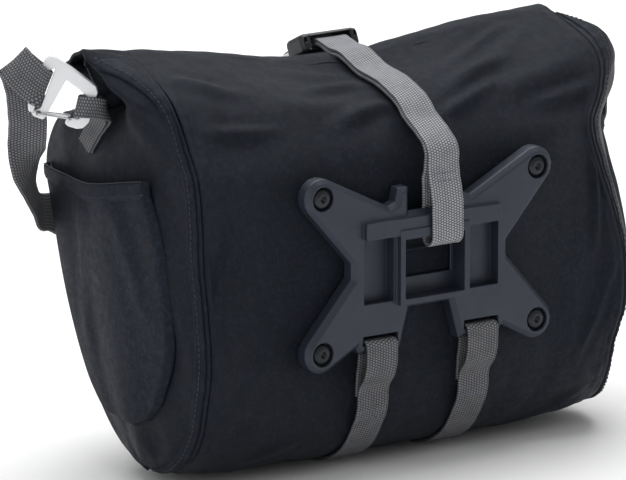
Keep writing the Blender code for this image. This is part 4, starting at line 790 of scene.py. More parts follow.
def surface_mesh(name, points, uv, closed=False, flip=False, caps=False):
    """Quads over a grid of points, rows first, with its own map in metres. Closed joins the last column
    to the first; caps close both ends."""
    rows, columns = points.shape[:2]
    i, j = np.meshgrid(np.arange(rows - 1), np.arange(columns if closed else columns - 1), indexing="ij")
    k = (j + 1) % columns
    quads = np.stack([i * columns + j, i * columns + k,
                      (i + 1) * columns + k, (i + 1) * columns + j], axis=-1)
    corners = np.stack([uv[i, j], uv[i, j + 1], uv[i + 1, j + 1], uv[i + 1, j]], axis=-2)
    quads, corners = quads.reshape(-1, 4), corners.reshape(-1, 4, 2)
    if flip:
        quads, corners = quads[:, ::-1], corners[:, ::-1]
    faces, corners = quads.tolist(), corners.reshape(-1, 2)
    if caps:
        faces += [list(range(columns))[::-1], list(range((rows - 1) * columns, rows * columns))]
        corners = np.concatenate([corners, uv[0, :columns][::-1], uv[-1, :columns]])
    mesh = bpy.data.meshes.new(name)
    mesh.from_pydata((points.reshape(-1, 3) + SHIFT).tolist(), [], faces)
    mesh.uv_layers.new(name="cloth").data.foreach_set("uv", corners.astype(np.float32).ravel())
    return mesh


def map_of(across, along):
    """A surface's map from its two measures, in metres."""
    return np.stack(np.broadcast_arrays(across, along), axis=-1)


def outward(mesh):
    """Turn a closed mesh's faces outwards."""
    shape = bmesh.new()
    shape.from_mesh(mesh)
    bmesh.ops.recalc_face_normals(shape, faces=shape.faces)
    shape.to_mesh(mesh)
    shape.free()
    return mesh


def show(name, mesh, finish_name, nodes=(), wall=0.0, side=-1.0, body=BODY):
    """Make a piece of a mesh: its finish, its wall, the body it rides on and the nodes it stands for."""
    obj = bpy.data.objects.new(name, mesh)
    bpy.context.scene.collection.objects.link(obj)
    mesh.materials.clear()
    mesh.materials.append(bpy.data.materials[finish_name])
    mesh.polygons.foreach_set("use_smooth", np.ones(len(mesh.polygons), bool))
    if wall:
        solid = obj.modifiers.new("wall", "SOLIDIFY")
        solid.thickness = wall
        solid.offset = side
        solid.use_quality_normals = True
    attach(obj, body)
    if nodes:
        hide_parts(*nodes)
    return obj


def crease_field(rows, a, b, b_scale):
    """Sum of soft creases: each is a ridge along a line, exp(-(d/w)^2), with a shallow dip on both sides,
    fading to nothing at its two ends."""
    total = np.zeros(np.broadcast(a, b).shape)
    for a_0, b_0, a_1, b_1, height, width in rows:
        line = np.array([a_1 - a_0, (b_1 - b_0) * b_scale])
        off = np.stack([a - a_0, (b - b_0) * b_scale], axis=-1)
        along = np.clip((off @ line) / (line @ line), 0.0, 1.0)
        apart = np.linalg.norm(off - along[..., None] * line, axis=-1) / width
        ends = np.sin(np.pi * np.clip(along, 0.03, 0.97)) ** 0.6
        total += height * ends * (np.exp(-apart ** 2) - CREASE_DIP * np.exp(-(apart - CREASE_DIP_AT) ** 2))
    return total


def swell(a, b, waves):
    """A gentle unevenness: a sum of plane waves, each with its own direction, phase and height."""
    total = np.zeros(np.broadcast(a, b).shape)
    for wave_a, wave_b, phase, height in waves:
        total += height * np.sin(2 * np.pi * (wave_a * a + wave_b * b) + phase)
    return total


# Columns: turns one way, turns the other way, phase, height.
PANEL_WAVES = (
    (1.3, 3.1, 0.4, 0.00035), (-2.2, 4.3, 1.9, 0.00028), (3.1, 1.7, 3.3, 0.00022),
    (0.8, 7.9, 5.1, 0.00020), (4.7, -5.3, 0.9, 0.00014), (-6.1, 9.7, 2.6, 0.00009),
    (9.2, 14.1, 4.4, 0.00005),
)
GUSSET_WAVES = (
    (2.1, 1.4, 0.7, 0.00040), (-3.6, 2.3, 2.2, 0.00028), (5.2, -1.9, 4.0, 0.00020),
    (7.7, 4.1, 1.1, 0.00012), (11.3, -7.9, 5.3, 0.00006),
)


def ridge_swell(t):
    """How far the roof's cloth rises towards the ridge, to run on into the roll."""
    return RIDGE_SWELL * rise((t - RIDGE_SWELL_FROM) / (1 - RIDGE_SWELL_FROM))


def buckle_swell(x):
    """How far the ridge rises under the buckle."""
    return BUCKLE_LIFT * np.exp(-((x - BUCKLE_LIFT_X) / BUCKLE_LIFT_WIDTH) ** 2)


def cloth_panel(t, s):
    """The main panel's outer face: its smooth shape with folds, moved along its normals by creases, by a
    gentle swell and, by the seams, by small puckers that die out inwards."""
    t, s = np.broadcast_arrays(np.asarray(t, float), np.asarray(s, float))
    inside = np.clip(s, -1.0, 1.0)
    from_seam = 1.0 - np.abs(inside)
    relief = crease_field(PANEL_CREASES, inside, t, ROUND_SCALE) + swell(inside, t, PANEL_WAVES)
    relief -= PANEL_SETTLE
    pucker = np.sin(2 * np.pi * (t * PANEL_PUCKER_COUNT + 0.15 * np.sin(29.0 * t) + 0.3 * np.sign(inside)))
    relief += PANEL_PUCKER * pucker * np.exp(-(from_seam / PANEL_PUCKER_REACH) ** 2)
    relief += WELD_RISE * np.exp(-((from_seam - WELD_AT) / WELD_HALF_WIDTH) ** 2)
    relief *= rise(from_seam * 30 + 0.15)
    relief *= rise(t * 40) * rise((1 - t) * 40)
    at_left = rise((-inside - LEFT_LIFT_FROM) / (1 - LEFT_LIFT_FROM))
    relief += ridge_swell(t) + LEFT_LIFT * at_left * rise((t - LEFT_LIFT_ROUND) / (1 - LEFT_LIFT_ROUND))
    relief += buckle_swell(0.5 * BAG_WIDTH * inside) * rise((t - BUCKLE_LIFT_FROM) / (1 - BUCKLE_LIFT_FROM))
    return panel_surface(t, inside) + panel_normal(t, inside) * relief[..., None]


def make_body_cloth():
    """The body's cloth: the panel's face over a grid, its two edges turned in over the gussets."""
    t = np.linspace(0.0, 1.0, PANEL_GRID[0])[:, None]
    s = np.linspace(-1.0, 1.0, PANEL_GRID[1])
    s = (np.sign(s) * (1 - (1 - np.abs(s)) ** 1.25))[None, :]
    points = cloth_panel(t, s)
    edges = []
    for side, column in ((-1.0, 0), (1.0, -1)):
        edge = points[:, column]
        normal = panel_normal(t[:, 0], side)
        normal[:, 0] = 0.0
        normal /= np.linalg.norm(normal, axis=1, keepdims=True)
        over = np.array([side, 0.0, 0.0])
        outs = (TURN_OUT, TURN_OUT + TURN_SHARE * SEAM_GAP, SEAM_GAP + SEAM_LAP)
        edges.append([edge + over * out - normal * deep for out, deep in zip(outs, TURN_IN)])
    left = np.stack(edges[0][::-1], axis=1)
    right = np.stack(edges[1], axis=1)
    points = np.concatenate([left, points, right], axis=1)
    reach = 0.5 * BAG_WIDTH
    laps = np.arange(1, 4) * PANEL_MAP_LAP / reach
    u = np.concatenate([-1.0 - laps[::-1], s[0], 1.0 + laps]) * reach
    mesh = surface_mesh("body_cloth", points, map_of(u[None, :], t * PANEL_MAP_ROUND))
    show("body_cloth", mesh, "coated_cloth", ["main_panel"], CLOTH)


def cloth_gusset(side, up, c):
    """A gusset's outer face: its smooth shape moved along its normals by creases and a gentle swell that
    die out at the seams, and by puckers beside them."""
    up, c = np.broadcast_arrays(np.asarray(up, float), np.asarray(c, float))
    from_seam = np.minimum(c, 1 - c)
    relief = crease_field(GUSSET_CREASES, up, c, 1.0) + swell(up, c, GUSSET_WAVES)
    relief *= rise(from_seam * 12)
    pucker = np.sin(2 * np.pi * (up * GUSSET_PUCKER_COUNT + 0.2 * np.sin(17.0 * up)))
    by_seam = np.exp(-(from_seam / GUSSET_PUCKER_REACH) ** 2) * rise(from_seam * 60)
    relief += GUSSET_PUCKER * pucker * by_seam
    relief -= GUSSET_SETTLE * rise(from_seam * 30)
    point = gusset_surface(side, up, c) + gusset_normal(side, up, c) * (CLOTH + relief)[..., None]
    low = BOTTOM_ROW / (len(PANEL_ROWS) - 1) + GUSSET_FOOT
    t = low + (1 - low) * up
    at_ridge = rise((t - LEFT_LIFT_ROUND) / (1 - LEFT_LIFT_ROUND))
    lift = ridge_swell(t) + (side < 0) * LEFT_LIFT * at_ridge
    point[..., 2] += lift * np.clip(1 - c / EAR_CREST, 0, 1)
    if side < 0:
        pull = EAR_PULL * rise((up - 0.60) / 0.20) * np.clip((1.02 - up) / 0.22, 0, 1)
        tent = np.where(c < EAR_CREST, (c / EAR_CREST) ** 0.9, rise(1 - (c - EAR_CREST) / 0.17))
        point += (pull * tent)[..., None] * np.array(TO_CAMERA)
        grown = np.clip((up - EAR_FROM) / (1 - EAR_FROM), 0, 1)
        before = np.clip(c / EAR_CREST, 0, 1) ** 0.9
        after = np.cos(0.5 * np.pi * np.clip((c - EAR_CREST) / (1 - EAR_CREST), 0, 1)) ** 2.2
        ear = grown * np.where(c < EAR_CREST, before, after)
        point[..., 0] -= EAR_OUT * ear
        point[..., 2] += EAR_UP * ear
    return point


def make_gusset_cloths():
    """Both gussets over a grid of up and along, tucked under the edge of the body's cloth."""
    up = np.linspace(0.0, 1.0, GUSSET_GRID[0])[:, None]
    c = 0.5 - 0.5 * np.cos(np.pi * np.linspace(0.0, 1.0, GUSSET_GRID[1]))
    c = (0.6 * c + 0.4 * np.linspace(0.0, 1.0, GUSSET_GRID[1]))[None, :]
    for side, name in ((-1, "left"), (1, "right")):
        points = cloth_gusset(side, up, c)
        uv = map_of(c * GUSSET_MAP[0], up * GUSSET_MAP[1])
        mesh = surface_mesh("gusset_cloth_" + name, points, uv, flip=side < 0)
        show("gusset_cloth_" + name, mesh, "coated_cloth", ["gusset_" + name], CLOTH)


def pocket_bulge(p, q=1.0):
    """How full a pocket is: half a wave along it times part of one up it, both made squarer."""
    along = np.sin(np.pi * np.clip(p, 0.001, 0.999)) ** BULGE_POWER
    return along * np.sin(np.pi * BULGE_WAVE * q) ** BULGE_POWER


def pocket_top(p):
    """Places along the gusset's row on a pocket's top edge."""
    _, back_at, front_at = POCKET_ROWS[-1]
    return back_at + (front_at - back_at) * p


def pocket_grid(side, q, p):
    """The pocket's outer face: q runs up it and p along it, over the gusset by its gap and fullness, with
    a ripple of slow waves that grows upwards, and drawn down to the gusset at its sewn rim."""
    sag = look_up(POCKET_SAG, p)[..., 1]
    top = POCKET_ROWS[-1][0]
    level = POCKET_ROWS[0][0] + (top - POCKET_ROWS[0][0]) * q ** 1.3 + 0 * p
    back_at, front_at = pocket_limits(level)
    c = back_at + (front_at - back_at) * p
    wave = np.sin(2 * np.pi * (3.2 * p + 0.25 * np.sin(3.0 * q) + 0.1))
    ripple = POCKET_RIPPLE * wave * np.sin(np.pi * p) * q ** 2
    ripple += crease_field(POCKET_CREASES, q + 0 * p, p + 0 * q, 1.0)
    ripple = ripple * rise(np.minimum(p, 1 - p) * 10)
    full = POCKET_GAP + POCKET_FULLNESS * pocket_bulge(p, q) + ripple + STRETCH_CLOTH
    rim = rise(np.minimum(np.minimum(p, 1 - p) * 26, q * 26 + 0 * p))
    full = full * rim + (1 - rim) * POCKET_RIM
    return over_gusset(side, level + sag * q ** 3, c, full)


def make_pockets():
    """Both stretch pockets, drawn down to the gusset along their three sewn edges, and their hems: a
    band across the top that is rounded by an eighth power and grooved along its lower edge."""
    q = np.linspace(0.0, 1.0, POCKET_GRID[0])[:, None]
    p = np.linspace(0.0, 1.0, POCKET_GRID[1])[None, :]
    v = np.linspace(0.0, 1.0, HEM_POINTS)[:, None]
    for side, name in ((-1, "left"), (1, "right")):
        uv = map_of(p * POCKET_MAP[0], q * POCKET_MAP[1])
        mesh = surface_mesh("pocket_cloth_" + name, pocket_grid(side, q, p), uv, flip=side < 0)
        show("pocket_cloth_" + name, mesh, "stretch_cloth", ["pocket_" + name], POCKET_WALL)

        hem_share = HEM_HEIGHT / (BAG_HEIGHT * HEM_SCALE)
        level = POCKET_ROWS[-1][0] - HEM_BELOW + (hem_share + HEM_ABOVE) * v + look_up(POCKET_SAG, p)[..., 1]
        thick = STRETCH_CLOTH + HEM_EXTRA
        rolled = thick * (1 - 0.45 * (2 * v - 1) ** 8) - 0.0004 * np.exp(-((v - 0.14) / 0.05) ** 2)
        ends = rise(np.minimum(p, 1 - p) * 30)
        full = (POCKET_GAP + POCKET_FULLNESS * pocket_bulge(p) + rolled) * ends + (1 - ends) * HEM_RIM
        points = over_gusset(side, level, pocket_top(p) + 0 * level, full + 0 * level)
        uv = map_of(p * POCKET_MAP[0], v * HEM_HEIGHT)
        mesh = surface_mesh("pocket_hem_cloth_" + name, points, uv, flip=side < 0)
        show("pocket_hem_cloth_" + name, mesh, "stretch_cloth", ["pocket_hem_" + name],
             HEM_WALL)


def over_cloth(side, up, c, height):
    """Points above a gusset's finished cloth."""
    return cloth_gusset(side, up, c) + gusset_normal(side, up, c) * height[..., None]


def seam_line(side, up, inset, height):
    """Points on a gusset at a distance from its back seam."""
    back = gusset_surface(side, up, np.zeros_like(up))
    front = gusset_surface(side, up, np.ones_like(up))
    share = inset / np.linalg.norm(front - back, axis=-1)
    return over_cloth(side, up, share, np.full(up.shape, height)), share


def make_tapes():
    """The tape welded along each back seam: a low flat band, its edges rounded by an eighth power."""
    up = np.linspace(0.03, 0.95, TAPE_GRID[0])[:, None]
    band = np.linspace(0.0, 1.0, TAPE_GRID[1])[None, :]
    for side, name in ((-1, "left"), (1, "right")):
        back = gusset_surface(side, up, 0.0)
        front = gusset_surface(side, up, 1.0)
        length = np.linalg.norm(front - back, axis=-1)
        share = (TAPE_START + (TAPE_WIDTH + TAPE_MORE) * band) / length
        height = TAPE_LOW + TAPE_RISE * (1 - (2 * band - 1) ** 8) + 0 * share
        points = over_cloth(side, up + 0 * share, share, height)
        uv = map_of(band * TAPE_WIDTH, up * GUSSET_MAP[1])
        mesh = surface_mesh("seam_band_" + name, points, uv, flip=side < 0)
        show("seam_band_" + name, mesh, "seam_tape_finish", ["seam_tape_" + name], TAPE_WALL)


def make_rolled_mouth():
    """The rolled mouth: its section carried across the bag, with small ripples that run along it and a
    soft unevenness of its crest."""
    half = 0.5 * BAG_WIDTH
    left_end = -half - ROLL_LEFT_REACH - ROLL_LEFT_MORE
    x = np.linspace(left_end, half + ROLL_RIGHT_REACH + 0.0004, ROLL_STATIONS)
    sections = []
    for place_x in x:
        into = (place_x - left_end) / (ROLL_TAPER * ROLL_LEFT_REACH)
        end_drop = ROLL_END_SHARE * ROLL_END_DROP
        drop = end_drop + (ROLL_DROP - end_drop) * float(rise(into))
        dense = resample([tuple(spot) for spot in roll_section(place_x, drop)], 0.05, 1.0)
        steps = np.linalg.norm(np.diff(dense, axis=0), axis=1)
        along = np.concatenate([[0.0], np.cumsum(steps)])
        even = np.linspace(0.0, along[-1], ROLL_POINTS)
        section = np.stack([np.interp(even, along, dense[:, k]) for k in range(2)], axis=1)
        behind_ridge = float(ridge_line(np.array(place_x))[1]) - section[:, 0]
        section[:, 1] -= ROLL_SETTLE * rise((behind_ridge + 0.0005) / 0.005)
        at_ear = rise((0.004 - place_x - half) / 0.008)
        section[:, 1] -= EAR_LIP * at_ear * rise((behind_ridge + 0.007) / 0.009)
        section[:, 1] += buckle_swell(place_x)
        section[:, 1] += 1.4 * LEFT_LIFT * rise((-place_x - LEFT_LIFT_FROM * half) / (0.42 * half))
        sections.append(section)
    section = np.array(sections)
    points = np.concatenate([np.broadcast_to(x[:, None, None], section.shape[:2] + (1,)), section], axis=2)
    step_x = np.gradient(points, axis=0)
    step_v = np.gradient(points, axis=1)
    normal = np.cross(step_x, step_v)
    normal /= np.maximum(np.linalg.norm(normal, axis=2, keepdims=True), 1e-12)
    a = x[:, None] / half
    b = np.linspace(0.0, 1.0, ROLL_POINTS)[None, :]
    ripple = 0.00022 * np.sin(2 * np.pi * (9.0 * a + 1.3 * np.sin(5 * b))) * np.sin(np.pi * b)
    ripple = ripple + 0.00030 * np.sin(2 * np.pi * (2.3 * a + 4.1 * b) + 1.0) * rise(b * 8)
    ripple = ripple * rise((1 - b) * 3)
    points = points + normal * ripple[..., None]
    uv = map_of(a * half, b * ROLL_MAP_ROUND)
    mesh = surface_mesh("rolled_mouth", points.transpose(1, 0, 2), uv.transpose(1, 0, 2))
    show("rolled_mouth", mesh, "coated_cloth", ["roll_top"], CLOTH, 0.0)


def strap_mesh(name, rows, width, thickness):
    """Webbing along a path: a flat section with rounded edges, a slightly thicker selvedge at both sides
    and a faint cup, carried along the path with its width kept square to it."""
    rows = np.asarray(rows, float)
    path = rows[:, :3]
    wide = rows[:, 3:6]
    along = np.gradient(path, axis=0)
    along /= np.linalg.norm(along, axis=1, keepdims=True)
    wide = wide - along * np.sum(wide * along, axis=1, keepdims=True)
    wide /= np.linalg.norm(wide, axis=1, keepdims=True)
    face = np.cross(along, wide)
    r = 0.5 * thickness
    inner = 0.5 * width - r
    flat = np.linspace(-inner, inner, 11)
    selvedge = 1 + SELVEDGE_MORE * (np.abs(flat / inner) > SELVEDGE_FROM)
    selvedge = selvedge - WEBBING_CUP * np.cos(np.pi * flat / inner)
    turn = np.radians(np.array([62.0, 20.0, -20.0, -62.0]))
    a = np.concatenate([flat, inner + r * np.cos(turn), flat[::-1], -inner - r * np.cos(turn[::-1])])
    b = np.concatenate([r * selvedge, r * np.sin(turn), -r * selvedge[::-1], r * np.sin(turn[::-1])])
    lengths = np.concatenate([[0.0], np.cumsum(np.linalg.norm(np.diff(path, axis=0), axis=1))])
    wobble = sum(height * np.sin(lengths * turns + phase) for height, turns, phase in WEBBING_WOBBLE)
    aside = (a[None, :] + wobble[:, None])[..., None]
    points = path[:, None] + wide[:, None] * aside + face[:, None] * b[None, :, None]
    across = np.concatenate([a, a[:1]]) + 0.5 * width
    uv = map_of(across[None, :], lengths[:, None])
    return outward(surface_mesh(name, points, uv, closed=True, caps=True))


def strap_lines():
    """The paths of the centre strap and of the strap on the front, as in the solids, in Y and Z."""
    lift = 0.5 * STRAP_THICKNESS + GAP + STRAP_CLEARANCE
    second = lift + STRAP_THICKNESS + STRAP_CLEARANCE
    bar_low = PLATE_CENTRE_HEIGHT + 0.5 * SOCKET_HEIGHT - BAR_HEIGHT
    near = -max(SOCKET_RISE, RIB_RISE) - 0.5 * STRAP_THICKNESS - GAP
    far = BAR_BACK + 0.5 * STRAP_THICKNESS + GAP
    half_gap = 0.5 * (STRAP_THICKNESS + STRAP_CLEARANCE)
    stitch_z = PLATE_CENTRE_HEIGHT + 1.36 * SOCKET_HEIGHT
    roof_rows = (0.94, 0.92, 0.90, 0.88, 0.86, 0.84)
    crest, _, _, _ = ridge_top(CENTRE_STRAP_X, STRAP_WIDTH)
    over_roll = [crest + Vector((0.0052, 0.0054)), crest + Vector((-0.0040, 0.0050))]
    path = [buckle_point(spot * BUCKLE_LENGTH, -IN_BUCKLE) for spot in (0.30, -0.08, -0.42)]
    path += [tuple(spot) for spot in over_roll]
    path += [over_panel(CENTRE_STRAP_X, t, lift + float(ridge_swell(t))) for t in roof_rows]
    path += [(half_gap + 0.0030, stitch_z + 0.012), (half_gap + 0.0022, stitch_z)]
    path += [(far, bar_low + 0.031), (far, bar_low + 0.018), (far, bar_low + 0.006), (far, bar_low + 0.002)]
    path += bend(0.5 * (near + far), bar_low, 0.5 * (far - near), -20, -160, 5)
    path += [(near, bar_low + 0.003), (near, bar_low + 0.009), (near, bar_low + 0.016)]
    path += [(near + 0.0018, bar_low + 0.025), (-half_gap + 0.0004, stitch_z), (0.0010, stitch_z + 0.012)]
    path += [over_panel(CENTRE_STRAP_X, t, second + 0.0002 + float(ridge_swell(t)))
             for t in reversed(roof_rows)]
    path += [tuple(spot + Vector((0, second - lift + 0.0004))) for spot in reversed(over_roll)]
    path += [buckle_point(spot * BUCKLE_LENGTH, IN_BUCKLE) for spot in (-0.42, -0.20, -0.02, 0.30)]
    return path


def front_line():
    """The path of the strap from the ring down the front, in Y and Z."""
    clear = 0.5 * RING_WIRE + 0.5 * STRAP_THICKNESS + GAP
    out = 0.5 * BUCKLE_LENGTH + RING_HALF + GAP
    low = 0.5 * BUCKLE_THICKNESS - 0.5 * RING_WIRE - STRAP_THICKNESS

    def by_ring(along, up):
        return buckle_point(out + along, up - 0.5 * low)

    inside = RING_HALF - RING_WIRE - 0.5 * STRAP_THICKNESS - GAP
    middle_of_bar = RING_HALF - 0.5 * RING_WIRE
    path = [by_ring(RING_HALF + 0.0085, -0.0030), by_ring(RING_HALF + 0.0030, -clear + 0.0002),
            by_ring(middle_of_bar, -clear), by_ring(inside + 0.0008, -0.93 * clear),
            by_ring(inside, -0.55 * clear), by_ring(inside, 0.55 * clear),
            by_ring(inside + 0.0008, 0.93 * clear), by_ring(middle_of_bar, clear),
            by_ring(RING_HALF + 0.0030, clear - 0.0004), by_ring(RING_HALF + 0.0085, 0.0002)]
    lift = 0.5 * STRAP_THICKNESS + GAP + 2 * STRAP_CLEARANCE
    path += [over_panel(BUCKLE_X, t, lift) for t in FRONT_STRAP_ROWS]
    return path


def lower_line(side):
    """The path of a lower strap round the plate's foot, down the back and under the bag, in Y and Z."""
    lift = 0.5 * STRAP_THICKNESS + GAP
    foot_top = PLATE_CENTRE_HEIGHT - 0.5 * HOLE_SPACING_Z + FOOT_SLOT_FROM
    near = -lift
    far = CHANNEL_FROM + lift
    turn = foot_top + lift + 0.0004
    x = side * LOWER_STRAP_X
    path = [over_panel(x, 0.645, lift), over_panel(x, 0.655, lift), (far + 0.0002, foot_top - 0.010)]
    path += [(far, foot_top - 0.0045)]
    path += bend(far - 0.0020, turn - 0.0020, 0.0020, 0, 90, 4)
    path += bend(near + 0.0020, turn - 0.0020, 0.0020, 90, 180, 4)
    path += [(near, foot_top - 0.0035), (near, foot_top - 0.008), (near + 0.0016, foot_top - 0.017)]
    second = lift + STRAP_THICKNESS + STRAP_CLEARANCE + 0.0004
    path += [over_panel(x, 0.650, second), over_panel(x, 0.640, second),
             over_panel(x, 0.632, second - 0.0003)]
    path.append(over_panel(x, 0.618, lift + 0.0004))
    path += [over_panel(x, t, lift) for t in LOWER_STRAP_ROWS]
    return path


def strap_rows(x, line):
    """A path in Y and Z at one X, made dense, with the webbing's width along X."""
    dense = resample(line, STRAP_FINE_STEP, STRAP_FINE_TURN)
    ones = np.ones(len(dense))
    return np.stack([x * ones, dense[:, 0], dense[:, 1], ones, 0 * ones, 0 * ones], axis=1)


def make_straps():
    """The centre strap, the strap on the front and the two lower straps."""
    # The centre and front straps take the webbing painted lit, the lower straps the webbing painted shaded.
    pieces = [("centre_webbing", strap_rows(CENTRE_STRAP_X, strap_lines()), "painted_lit_webbing_finish",
               "centre_strap", "webbing_light"),
              ("front_webbing", strap_rows(BUCKLE_X, front_line()), "painted_lit_webbing_finish",
               "front_strap", "webbing_light")]
    for side, name in ((-1, "left"), (1, "right")):
        pieces.append(("lower_webbing_" + name, strap_rows(side * LOWER_STRAP_X, lower_line(side)),
                       "painted_shade_webbing_finish", "lower_strap_" + name, "webbing_mid"))
    for name, rows, finish_name, node, slot in pieces:
        mesh = strap_mesh(name, rows, STRAP_WIDTH, STRAP_THICKNESS)
        show(name, mesh, finish_name, [node])


def loop_rows(side):
    """The webbing loop that ties a hook to the gusset, made dense."""
    thickness = STRAP_THICKNESS - LOOP_THINNER
    under = 0.5 * thickness + TAPE_GAP + STRAP_CLEARANCE
    over = under + thickness + STRAP_CLEARANCE

    def tab(height):
        up, c = np.array(LOOP_TAB_ROWS[side]).T
        spots = over_gusset(side, up, c, np.full(len(up), height))
        return [(*spot, *LOOP_TAB_WIDTH[side]) for spot in spots]

    first, last = (under, over) if side < 0 else (over, under)
    rows = tab(first) + hook_rows(side, LOOP_OUTER_ROWS[side])
    rows += hook_rows(side, LOOP_BAR_ROWS, LOOP_BAR_WIDTH)
    rows += hook_rows(side, LOOP_INNER_ROWS[side]) + list(reversed(tab(last)))
    return resample(rows, LOOP_FINE_STEP, STRAP_FINE_TURN)


def shoulder_rows():
    """The shoulder strap, whole, from one hook round the front of the bag to the other, made dense."""
    def on_bag(row):
        across, depth, height = row
        return (across * BAG_WIDTH, depth * BAG_DEPTH, height * BAG_HEIGHT, 0.0, 0.04, 1.0)

    rows = hook_rows(-1, STRAP_END_ROWS)
    rows += [on_bag(row) for row in (STRAP_CORNER_ROWS[-1],) + STRAP_FRONT_ROWS + (STRAP_CORNER_ROWS[1],)]
    rows += list(reversed(hook_rows(1, STRAP_END_ROWS)))
    return resample(rows, STRAP_FINE_STEP, STRAP_FINE_TURN)


def make_loops():
    """The two side loops and the shoulder strap."""
    # The loops and the shoulder strap take the webbing painted shaded.
    for side, name in ((-1, "left"), (1, "right")):
        mesh = strap_mesh("loop_webbing_" + name, loop_rows(side), LOOP_WIDTH,
                          STRAP_THICKNESS - LOOP_THINNER)
        show("loop_webbing_" + name, mesh, "painted_shade_webbing_finish", ["side_loop_" + name])
    mesh = strap_mesh("shoulder_webbing", shoulder_rows(), SHOULDER_WIDTH, STRAP_THICKNESS)
    show("shoulder_webbing", mesh, "painted_shade_webbing_finish", ["shoulder_strap"])


def softened(node, name, finish_name, width, segments=2):
    """A copy of a hard node with its triangles merged into flat faces and its sharp edges rounded."""
    shape = bmesh.new()
    shape.from_mesh(frame["nodes"][node].data)
    bmesh.ops.remove_doubles(shape, verts=shape.verts, dist=0.000005)
    bmesh.ops.dissolve_limit(shape, angle_limit=math.radians(0.6), verts=shape.verts, edges=shape.edges)
    bmesh.ops.triangulate(shape, faces=shape.faces)
    bmesh.ops.recalc_face_normals(shape, faces=shape.faces)
    mesh = bpy.data.meshes.new(name)
    shape.to_mesh(mesh)
    shape.free()
    obj = show(name, mesh, finish_name, [node], body=frame["nodes"][node]["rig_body"])
    edge = obj.modifiers.new("rounded", "BEVEL")
    edge.width = width
    edge.segments = segments
    edge.limit_method = "ANGLE"
    edge.angle_limit = math.radians(24.0)
    edge.use_clamp_overlap = False
    obj.modifiers.new("flat_faces", "WEIGHTED_NORMAL")


def make_plate_piece():
    """The moulded plate with rounded edges."""
    softened("mount_plate", "plate_moulding", "plate_finish", 0.00055, segments=3)


def make_screws():
    """Button-head screws: a domed head turned about its axis, with a six-sided socket."""
    theta = np.linspace(0.0, 2 * np.pi, 48, endpoint=False)
    sixth = np.pi / 3
    hex_radius = HEX_HALF_ACROSS / np.cos((theta % sixth) - 0.5 * sixth)
    radius = np.array([r * hex_radius if on_hex else r + 0 * theta for r, _, on_hex in SCREW_ROWS])
    y = np.array([depth for _, depth, _ in SCREW_ROWS])[:, None] + 0 * theta
    uv = np.zeros((len(SCREW_ROWS), len(theta) + 1, 2))
    number = 0
    for level in (1, -1):
        for side in (-1, 1):
            number += 1
            centre = np.array((side * 0.5 * HOLE_SPACING_X, 0.0,
                               PLATE_CENTRE_HEIGHT + level * 0.5 * HOLE_SPACING_Z))
            points = np.stack([radius * np.cos(theta), y, radius * np.sin(theta)], axis=-1) + centre
            name = "screw_head_%d" % number
            mesh = outward(surface_mesh(name, points, uv, closed=True, caps=True))
            show(name, mesh, "screw_finish", ["plate_screw_%d" % number])


def make_buckle_pieces():
    """The buckle's channel and bar and the white ring, with rounded edges."""
    softened("buckle_body", "buckle_shell", "buckle_finish", 0.0004)
    softened("buckle_bar", "buckle_grip", "buckle_finish", 0.0002)
    softened("closure_ring", "ring_white", "hook_finish", 0.0004)


def make_hook_pieces():
    """The two hooks with rounded edges; the gate wires keep their solids."""
    for name in ("left", "right"):
        softened("strap_hook_" + name, "hook_" + name, "hook_finish", 0.0007, segments=3)
        wire = frame["nodes"]["gate_wire_" + name]
        wire.data.materials.clear()
        wire.data.materials.append(bpy.data.materials["wire_finish"])


def stitch_mesh(name, rows, length, radius):
    """Stitches as one mesh: a blunt spindle laid along each given direction and sunk into the cloth. The
    rows hold middles, directions and normals."""
    middles, along, normals = (np.concatenate(values) for values in zip(*rows))
    along = along / np.linalg.norm(along, axis=1, keepdims=True)
    normals = normals / np.linalg.norm(normals, axis=1, keepdims=True)
    side = np.cross(along, normals)
    ring = np.array([-0.5, -0.40, 0.0, 0.40, 0.5]) * length
    size = np.array([0.35, 0.85, 1.0, 0.85, 0.35]) * radius
    drop = np.array([-0.8, -0.15, 0.15, -0.15, -0.8]) * radius
    theta = np.linspace(0, 2 * np.pi, 6, endpoint=False)
    local_a = np.broadcast_to(ring[:, None], (5, 6))
    local_b = size[:, None] * np.cos(theta)
    local_c = size[:, None] * np.sin(theta) + drop[:, None]
    points = (middles[:, None, None] + along[:, None, None] * local_a[None, ..., None]
              + side[:, None, None] * local_b[None, ..., None]
              + normals[:, None, None] * local_c[None, ..., None])
    one = []
    for i in range(4):
        for j in range(6):
            k = (j + 1) % 6
            one.append((i * 6 + j, i * 6 + k, (i + 1) * 6 + k, (i + 1) * 6 + j))
    caps = [tuple(range(6))[::-1], tuple(range(24, 30))]
    faces = [tuple(v + 30 * n for v in face) for n in range(len(middles)) for face in one + caps]
    mesh = bpy.data.meshes.new(name)
    mesh.from_pydata((points.reshape(-1, 3) + SHIFT).tolist(), [], faces)
    return outward(mesh)


def row_of_stitches(line, normals, pitch):
    """Even places, directions and normals along a line of points."""
    lengths = np.concatenate([[0.0], np.cumsum(np.linalg.norm(np.diff(line, axis=0), axis=1))])
    at = np.arange(0.5 * pitch, lengths[-1], pitch)
    spots = np.stack([np.interp(at, lengths, line[:, k]) for k in range(3)], axis=1)
    ahead = np.stack([np.interp(at + 0.3 * pitch, lengths, line[:, k]) for k in range(3)], axis=1)
    behind = np.stack([np.interp(at - 0.3 * pitch, lengths, line[:, k]) for k in range(3)], axis=1)
    square = np.stack([np.interp(at, lengths, normals[:, k]) for k in range(3)], axis=1)
    return spots, ahead - behind, square


